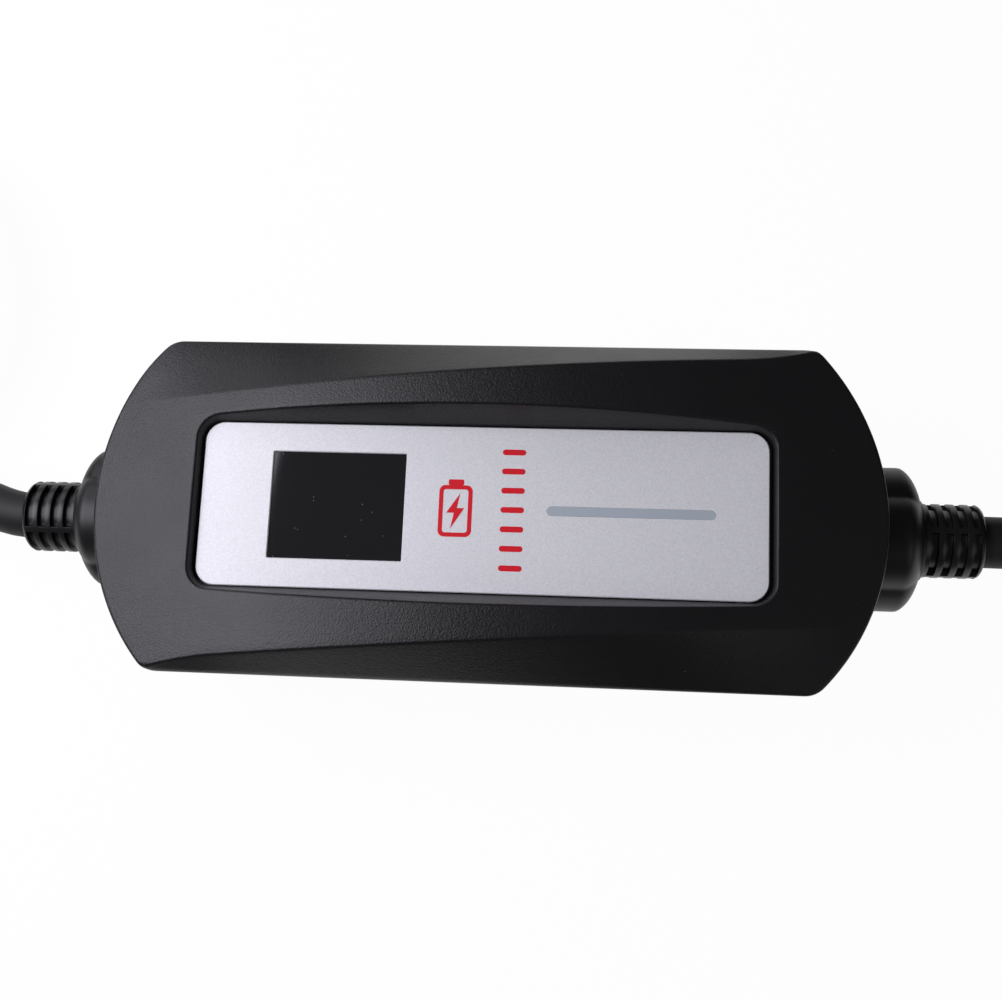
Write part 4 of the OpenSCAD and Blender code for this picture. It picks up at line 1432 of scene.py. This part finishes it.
@dataclass
class SupplyLead:
    """The short lead with one turn, its tie and its wall plug."""

    finisher: Finisher
    cord_r: float = 6.5
    plug_at: Point = (-248.0, 13.0, 21.5)
    plug_len: float = 60.0
    plug_r: float = 20.0
    pin_r: float = 2.4
    pin_end: float = 79.0
    pin_off: float = 9.5
    turn_at: Flat = (-217.0, 69.0)
    turn_r: float = 56.0
    turn_rise: float = 13.2
    low: float = 8.1

    def route(self) -> list[Point]:
        """Give the points that the lead follows, as the solids do.

        Returns:
            The points.
        """
        out = [(-106, 0, 21.5), (-118, 0, 21.5), (-130, 0, 21.5), (-137, 0.6, 21.3), (-143, 2.2, 20.9)]
        out += [(-152, 5.5, 19.2), (-164, 9.5, 15.2), (-176, 12, 11.2), (-188, 13, 8.9), (-200, 13, 8.1)]
        turn = []
        for deg in range(0, 361, 15):
            a = math.radians(deg)
            x, y = self.turn_at[0] - self.turn_r * math.sin(a), self.turn_at[1] - self.turn_r * math.cos(a)
            turn.append((x, y, self.low + self.turn_rise * smooth_step((deg - 90) / 225)))
        end = [(-228, 13, 21.3), (-236, 13, 21.4), (-243, 13, 21.5), (-248, 13, 21.5)]
        return out + turn + end

    def build(self) -> None:
        line = smooth_route(self.route())
        cord = make_piece("supply_lead", [tube_skin(line, self.cord_r)], 60.0)
        self.finisher.dress(cord, "cord", "supply_cord")
        tie = self._tie()
        plug = self._plug()
        pins = self._pins()
        length_of(line)
        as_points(in_metres(line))

    def _tie(self) -> Piece:
        """Build the strap round the crossing.

        Returns:
            The piece.
        """
        inner, outer = round_rectangle(7.7, 13.15, 7.1), round_rectangle(9.2, 14.65, 8.6)
        piece = make_piece("lead_tie", [strap_skin(inner, outer, (-213.0, 13.6, 14.75), 16.0)], 40.0)
        return self.finisher.dress(piece, "strap", "supply_tie")

    def _plug(self) -> Piece:
        """Build the plug's moulded body with its grip and guide grooves.

        Returns:
            The piece.
        """
        end, r = self.plug_len, self.plug_r
        profile = ribbed(20.0, 8.2, 10.5, 3.0, 4.4, [(0.0, 0.0), (0.3, -0.9), (1.7, -0.8), (2.0, 0.2)])
        profile += [(20.0, 10.5), (22.0, 15.0)]
        profile += [*fillet((23.0, 16.2), (27.5, 19.8), (33.0, r), 6), (44.0, r)]
        profile += [*fillet((end - 1.2, r), (end, r), (end, r - 1.2), 5), (end, 0.0)]
        piece = make_piece("plug_moulding", [moved(lathe(profile, 72), self.plug_at, True)])
        x, y, z = self.plug_at
        back = x - end - 1.0
        cuts = []
        for s in (-19.5, 19.5):
            cuts.append(box_skin((back, y - 3.2, z + s - 1.5), (x - 39, y + 3.2, z + s + 1.5)))
        for s in (-19.0, 19.0):
            cuts.append(box_skin((back, y + s - 1.5, z - 3), (x - 44, y + s + 1.5, z + 3)))
        carve(piece, make_piece("plug_cuts", cuts))
        return self.finisher.dress(piece, "plug", "plug_body")

    def _pins(self) -> Piece:
        """Build the two round pins.

        Returns:
            The piece.
        """
        r, start, end = self.pin_r, self.plug_len - 1.0, self.pin_end
        tip = fillet((end - 2.0, r), (end, r), (end, 0.5 * r), 5)
        turned = lathe([(start, 0.0), (start, r), *tip, (end, 0.0)], 32)
        x, y, z = self.plug_at
        pins = [moved(turned, (x, y + s * self.pin_off, z), True) for s in (-1, 1)]
        return self.finisher.dress(make_piece("plug_contact_pins", pins), "contact_metal", "plug_pins")


@dataclass
class VehicleLead:
    """The long lead, wound into a hank, and the vehicle connector on it."""

    finisher: Finisher
    repeats: SetOnPoints
    cord_r: float = 7.0
    pitch: float = 14.2
    run: float = 110.0
    ring_r: float = 57.1
    start: Flat = (219.0, 0.0)
    low: float = 8.6
    last_h: float = 65.5
    stages: int = 8
    step: float = 5.0
    strap_w: float = 20.0
    strap_t: float = 1.5
    plug_at: Point = (222.0, 14.0, 87.95)
    nose_x: float = 124.0
    nose_end: float = 170.0
    nose_r: float = 27.0
    nose_wall: float = 2.6
    flat: float = 20.0
    cap_x: float = 140.0
    cap_end: float = 172.7
    cap_t: float = 2.5
    contact_x: float = 132.0
    contact_ring: float = 15.5

    @property
    def middle(self) -> float:
        """Give the hank's middle line in Y."""
        return self.start[1] + self.ring_r + self.pitch / 2

    def _winding(self) -> list[Point]:
        """Wind the hank: two turns to a layer, in and out by turns.

        Returns:
            Points along the wound cord.
        """
        outer, inner = self.ring_r + self.pitch / 2, self.ring_r - self.pitch / 2
        places = []
        for layer in range(4):
            z = self.low + layer * self.pitch
            pair = [(outer, z), (inner, z)]
            places += pair if layer % 2 == 0 else pair[::-1]
        places.append((outer, self.last_h))
        change = 1.0 / 6.0
        stage = 1.0 - change
        arc = math.pi * self.ring_r
        lap = 2 * (self.run + arc)
        line = []
        for i in range(round(lap * stage * self.stages / self.step) + 1):
            u = min(i * self.step / lap, stage * self.stages)
            k = min(int(u / stage), self.stages - 1)
            s = smooth_step((u - (stage * (k + 1) - change)) / change)
            r = places[k][0] + (places[k + 1][0] - places[k][0]) * s
            z = places[k][1] + (places[k + 1][1] - places[k][1]) * s
            line.append((*self._lap_place((u % 1.0) * lap, r, arc), z))
        return line

    def _lap_place(self, along: float, r: float, arc: float) -> Flat:
        """Give the place on a lap of the hank.

        Args:
            along: Distance from the start of the front run.
            r: Distance from the hank's middle line.
            arc: Length of one round end.

        Returns:
            The place in plan.
        """
        x0, x1 = self.start[0], self.start[0] + self.run
        if along < self.run:
            return (x0 + along, self.middle - r)
        along -= self.run
        if along < arc:
            a = along / self.ring_r
            return (x1 + r * math.sin(a), self.middle - r * math.cos(a))
        along -= arc
        if along < self.run:
            return (x1 - along, self.middle + r)
        a = (along - self.run) / self.ring_r
        return (x0 - r * math.sin(a), self.middle + r * math.cos(a))

    def route(self) -> list[Point]:
        """Give the whole lead's line from the box to the connector.

        Returns:
            Points on the line.
        """
        inlet = [(106, 0, 21.5), (118, 0, 21.5), (130, 0, 21.5), (138, 0, 21.2), (150, 0, 19)]
        inlet += [(162, 0, 15.6), (174, 0, 12.2), (186, 0, 9.8), (198, 0, 8.8), (208, 0, 8.6)]
        outlet = [(197, 124.5, 65.8), (178, 112, 66.8), (165.5, 94.5, 69), (159.5, 74.5, 72)]
        outlet += [(161, 54, 75.5), (169.5, 35.5, 79.5), (184, 22, 83.5), (201, 15, 86.5)]
        outlet += [(212, 14, 87.9), (222, 14, 87.9)]
        wound = self._winding()
        first, last = smooth_route(inlet + wound[:1]), smooth_route(wound[-2:-1] + outlet)
        return first[:-1] + wound[:-2] + last[1:]

    def build(self) -> None:
        line = self.route()
        cord = make_piece("vehicle_lead", [tube_skin(line, self.cord_r, 20)], 60.0)
        self.finisher.dress(cord, "cord", "vehicle_cord_inlet", "vehicle_hank", "vehicle_cord_end")
        pieces = [self._straps(), *self._connector()]
        length_of(line)
        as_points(in_metres(line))

    def _straps(self) -> Piece:
        """Build the two straps round the hank's runs.

        Returns:
            The piece.
        """
        half_y, half_z = self.pitch + 0.1, 2 * self.pitch + 0.1
        inner = round_rectangle(half_y, half_z, 7.2)
        outer = round_rectangle(half_y + self.strap_t, half_z + self.strap_t, 8.7)
        x, z = self.start[0] + self.run / 2, 2 * self.pitch + 1.6
        places = [(x, self.middle + side * self.ring_r, z) for side in (-1, 1)]
        skins = [strap_skin(inner, outer, at, self.strap_w) for at in places]
        return self.finisher.dress(make_piece("hank_ties", skins, 40.0), "strap", "hank_straps")

    def _connector(self) -> list[Piece]:
        """Build the boot, the handle's halves, the nose, the contacts and the cap.

        Returns:
            The pieces.
        """
        dress, at = self.finisher.dress, self.plug_at
        shell = self._handle_profile()
        grown = self.cap_t
        x, y, z = at
        tab = box_skin((x + 158.0, y - 39.0, z - 1.5), (x + 172.0, y - 28.0, z + 1.5))
        nose = self._flatted(self.nose_x, self.nose_end, self.nose_r, self.flat, self.nose_wall)
        cap = self._flatted(self.cap_x, self.cap_end, self.nose_r + grown, self.flat + grown, 0.0)
        boot = make_piece("connector_sleeve", [moved(lathe(self._boot_profile()), at)])
        lower = make_piece("handle_lower", [moved(lathe(shell, 40, 180.0, 360.0), at)])
        upper = make_piece("handle_upper", [moved(lathe(shell, 40, 0.0, 180.0), at)])
        return [
            dress(boot, "relief_rubber", "connector_boot"),
            dress(lower, "connector", "connector_lower_shell"),
            dress(upper, "connector", "connector_upper_shell"),
            dress(make_piece("connector_snout", [nose]), "connector", "connector_nose"),
            dress(make_piece("snout_cap", [cap, tab]), "cap", "connector_cap"),
            self._contacts(),
        ]

    def _boot_profile(self) -> list[Flat]:
        """Outline the ribbed boot behind the handle."""
        profile = ribbed(26.0, 9.5, 12.0, 4.0, 5.5, [(0.0, 0.0), (0.4, -1.1), (2.2, -1.0), (2.6, 0.2)])
        return profile + [(26.0, 12.0), (42.0, 12.0), (42.0, 0.0)]

    def _handle_profile(self) -> list[Flat]:
        """Outline the handle's wall, from its collar to the flare at the nose.

        Returns:
            Places along the handle and radii.
        """
        end, r = self.nose_x, self.nose_r
        outer = fillet((30.0, 14.5), (30.0, 16.0), (31.5, 16.0), 5) + [(44.0, 16.0)]
        outer += [(44.0 + 2 * i, 16.0 + 2.0 * smooth_step(i / 8)) for i in range(1, 9)]
        outer += [(80.0 + 2.83 * i, 18.0 + 9.0 * smooth_step(i / 12)) for i in range(13)]
        outer += fillet((end - 0.8, r), (end, r), (end, r - 0.8), 4)
        inner = [(end, 24.0), (112.0, 24.0), (104.0, 19.0), (78.0, 14.0), (42.1, 14.0)]
        return outer + inner + [(42.1, 12.05), (30.0, 12.05)]

    def _flatted(self, x0: float, x1: float, r: float, flat: float, wall: float) -> Skin:
        """Make a snout with a flat along its top, hollow from the front where it has a wall.

        Args:
            x0: Its rear end.
            x1: Its front end.
            r: Its radius.
            flat: Distance of its flat from the axis.
            wall: Its wall, or 0 for a closed end.

        Returns:
            The skin.
        """
        rows = [(x0, 0.8), (x0 + 0.8, 0.0), (x1 - 1.2, 0.0), (x1 - 0.35, 0.35), (x1, 1.2)]
        if wall:
            rows += [(x1, wall), (x0 + 4.0, wall)]
        rings = []
        for x, inset in rows:
            ring = []
            for a in full_turn(96):
                ring.append((x, (r - inset) * math.cos(a), min((r - inset) * math.sin(a), flat - inset)))
            rings.append(ring)
        return moved(loft(rings, caps=True), self.plug_at)

    def _contacts(self) -> Piece:
        """Set the sleeves of the seven contacts.

        Returns:
            The piece.
        """
        x, y, z = self.plug_at[0] + self.contact_x, self.plug_at[1], self.plug_at[2]
        ring = self.contact_ring
        power = [(x, y, z)]
        for a in map(math.radians, (0, 180, 240, 300)):
            power.append((x, y + ring * math.cos(a), z + ring * math.sin(a)))
        signal = [(x, y + s * 6, z + 11) for s in (-1, 1)]
        sets = []
        for kind, places, r, sides in (("power", power, 4.0, 32), ("signal", signal, 2.5, 24)):
            bore = r - 0.95
            profile = [(0.0, 0.0), (0.0, r), (24.0, r), (24.0, bore), (2.0, bore), (2.0, 0.0)]
            sleeve = make_piece(f"{kind}_sleeve", [lathe(profile, sides)])
            metal = self.finisher.materials["contact_silver"]
            sets.append(self.repeats.repeat(f"{kind}_contacts", sleeve, places, metal))
        join(sets[0], sets[1:])
        return self.finisher.dress(sets[0], "contact_silver", "contacts")


@dataclass(frozen=True)
class Lamp:
    """A square soft lamp: where it hangs, what it faces, its side and its brightness."""

    name: str
    at: Point
    aim: Point
    side: float
    brightness: float
    colour: tuple[float, float, float] = (1.0, 1.0, 1.0)

    def hang(self) -> None:
        """Add the lamp to the scene."""
        data = bpy.data.lights.new(self.name, "AREA")
        data.size = self.side * MM
        data.energy = self.brightness * math.pi * data.size**2
        data.color = self.colour
        lamp = bpy.data.objects.new(self.name, data)
        lamp.location = [MM * v for v in self.at]
        lamp.rotation_euler = (Vector(self.aim) - Vector(self.at)).to_track_quat("-Z", "Y").to_euler()
        bpy.context.scene.collection.objects.link(lamp)


COOL = (0.92, 0.91, 1.0)
LAMPS = (
    Lamp("key", (-323, 50, 407), (-40, 10, 60), 340, 7.2, COOL),
    Lamp("far", (-330, 402, 263), (-60, 37, 53), 260, 2.6, COOL),
    Lamp("fill", (430, -260, 330), (100, 0, 30), 300, 0.85),
)
# Painted pool of light on the floor, per axis: where the floor is grey and where it is white, in metres
FLOOR_LIGHT_POOL_FADES = (("Y", -0.26, -0.13), ("Y", 1.0, 0.3), ("X", -1.1, -0.4), ("X", 1.2, 0.5))
FLOOR_HALF_M = 2.5
FLOOR_DROP_M = 0.0005
FLOOR_GREY, FLOOR_WHITE = 0.5, 0.85
FLOOR_SHARE = 0.97


@dataclass
class Studio:
    """The camera, the lights and the pale floor."""

    camera_mm: Point = (35.75, -56.1, 373.31)
    camera_deg: Point = (10.5305, 4.9551, 2.4195)
    focal_px: float = 1284.17
    room: float = 0.12

    def build(self) -> None:
        """Set up the camera, the floor, the world and the lamps."""
        self._camera()
        self._floor()
        self._world()
        for lamp in LAMPS:
            lamp.hang()
        bpy.context.scene.view_settings.view_transform = "Standard"

    def _camera(self) -> None:
        """Set the camera where the photograph was taken from."""
        data = bpy.data.cameras.new("camera")
        data.sensor_fit = "HORIZONTAL"
        data.sensor_width = SENSOR_MM
        data.lens = self.focal_px * SENSOR_MM / PHOTO_WIDTH
        data.clip_start = 0.01
        camera = bpy.data.objects.new("camera", data)
        camera.location = [MM * v for v in self.camera_mm]
        camera.rotation_euler = [math.radians(v) for v in self.camera_deg]
        bpy.context.scene.collection.objects.link(camera)
        bpy.context.scene.camera = camera

    def _floor(self) -> None:
        """Lay the floor."""
        data = bpy.data.meshes.new("floor")
        half = FLOOR_HALF_M
        corners = [(-half, -half, 0), (half, -half, 0), (half, half, 0), (-half, half, 0)]
        data.from_pydata(corners, [], [(0, 1, 2, 3)])
        data.materials.append(self._floor_material())
        floor = bpy.data.objects.new("floor", data)
        floor.location.z = -FLOOR_DROP_M
        bpy.context.scene.collection.objects.link(floor)

    @staticmethod
    def _floor_material() -> bpy.types.Material:
        """Make a white that keeps a soft shadow and is clear from below, with a painted pool of light whose
        glow and pale colour fade to grey far off.

        Returns:
            The material.
        """
        white = bpy.data.materials.new("White floor")
        white.use_nodes = True
        nodes, wires = white.node_tree.nodes, Wiring(white.node_tree)
        place = wires.node("ShaderNodeTexCoord").outputs["Object"]
        split = wires.node("ShaderNodeSeparateXYZ", {0: place}).outputs
        # Painted pool of light: glow and pale colour near the object, painted grey shade further off
        painted_light_pool: Socket | float = 1.0
        for axis, grey, full in FLOOR_LIGHT_POOL_FADES:
            span = {"Value": split[axis], "From Min": grey, "From Max": full}
            fade = wires.node("ShaderNodeMapRange", span, interpolation_type="SMOOTHSTEP")
            painted_light_pool = wires.combine("MULTIPLY", painted_light_pool, fade.outputs["Result"])
        greys = {"Value": painted_light_pool, "To Min": FLOOR_GREY, "To Max": FLOOR_WHITE}
        tone = wires.node("ShaderNodeMapRange", greys).outputs["Result"]
        shader = wires.feed(nodes["Principled BSDF"], {"Roughness": 0.9, "Base Color": tone})
        path = wires.node("ShaderNodeLightPath").outputs
        seen = wires.combine("MAXIMUM", path["Is Camera Ray"], path["Is Glossy Ray"])
        seen = wires.combine("MAXIMUM", seen, path["Is Transmission Ray"])
        lit = wires.combine("MULTIPLY", wires.combine("MULTIPLY", seen, FLOOR_SHARE), painted_light_pool)
        glow = wires.node("ShaderNodeEmission").outputs[0]
        above = wires.node("ShaderNodeMixShader", {0: lit, 1: shader.outputs[0], 2: glow}).outputs[0]
        clear = wires.node("ShaderNodeBsdfTransparent").outputs[0]
        below = wires.node("ShaderNodeNewGeometry").outputs["Backfacing"]
        whole = wires.node("ShaderNodeMixShader", {0: below, 1: above, 2: clear}).outputs[0]
        wires.feed(nodes["Material Output"], {"Surface": whole})
        return white

    def _world(self) -> None:
        """Light the room plainly and evenly."""
        world = bpy.data.worlds.new("room")
        world.use_nodes = True
        background = world.node_tree.nodes["Background"]
        Wiring(world.node_tree).feed(background, {"Color": (1.0, 1.0, 1.0, 1.0), "Strength": self.room})
        bpy.context.scene.world = world


def main() -> None:
    """Build the scene in order."""
    logging.basicConfig(level=logging.INFO, format="%(name)s: %(message)s")
    Studio().build()
    finisher = Finisher()
    repeats = SetOnPoints()
    SupplyLead(finisher).build()
    VehicleLead(finisher, repeats).build()
    housing = Housing(finisher, repeats)
    housing.upper()
    housing.lower()
    housing.screws()
    FacePanel(finisher, repeats).build()
    for end in End:
        gland = Gland(finisher, end)
        gland.nut()
        gland.relief()
    finisher.dress_nodes()
    bpy.context.view_layer.update()


if __name__ == "__main__":
    main()
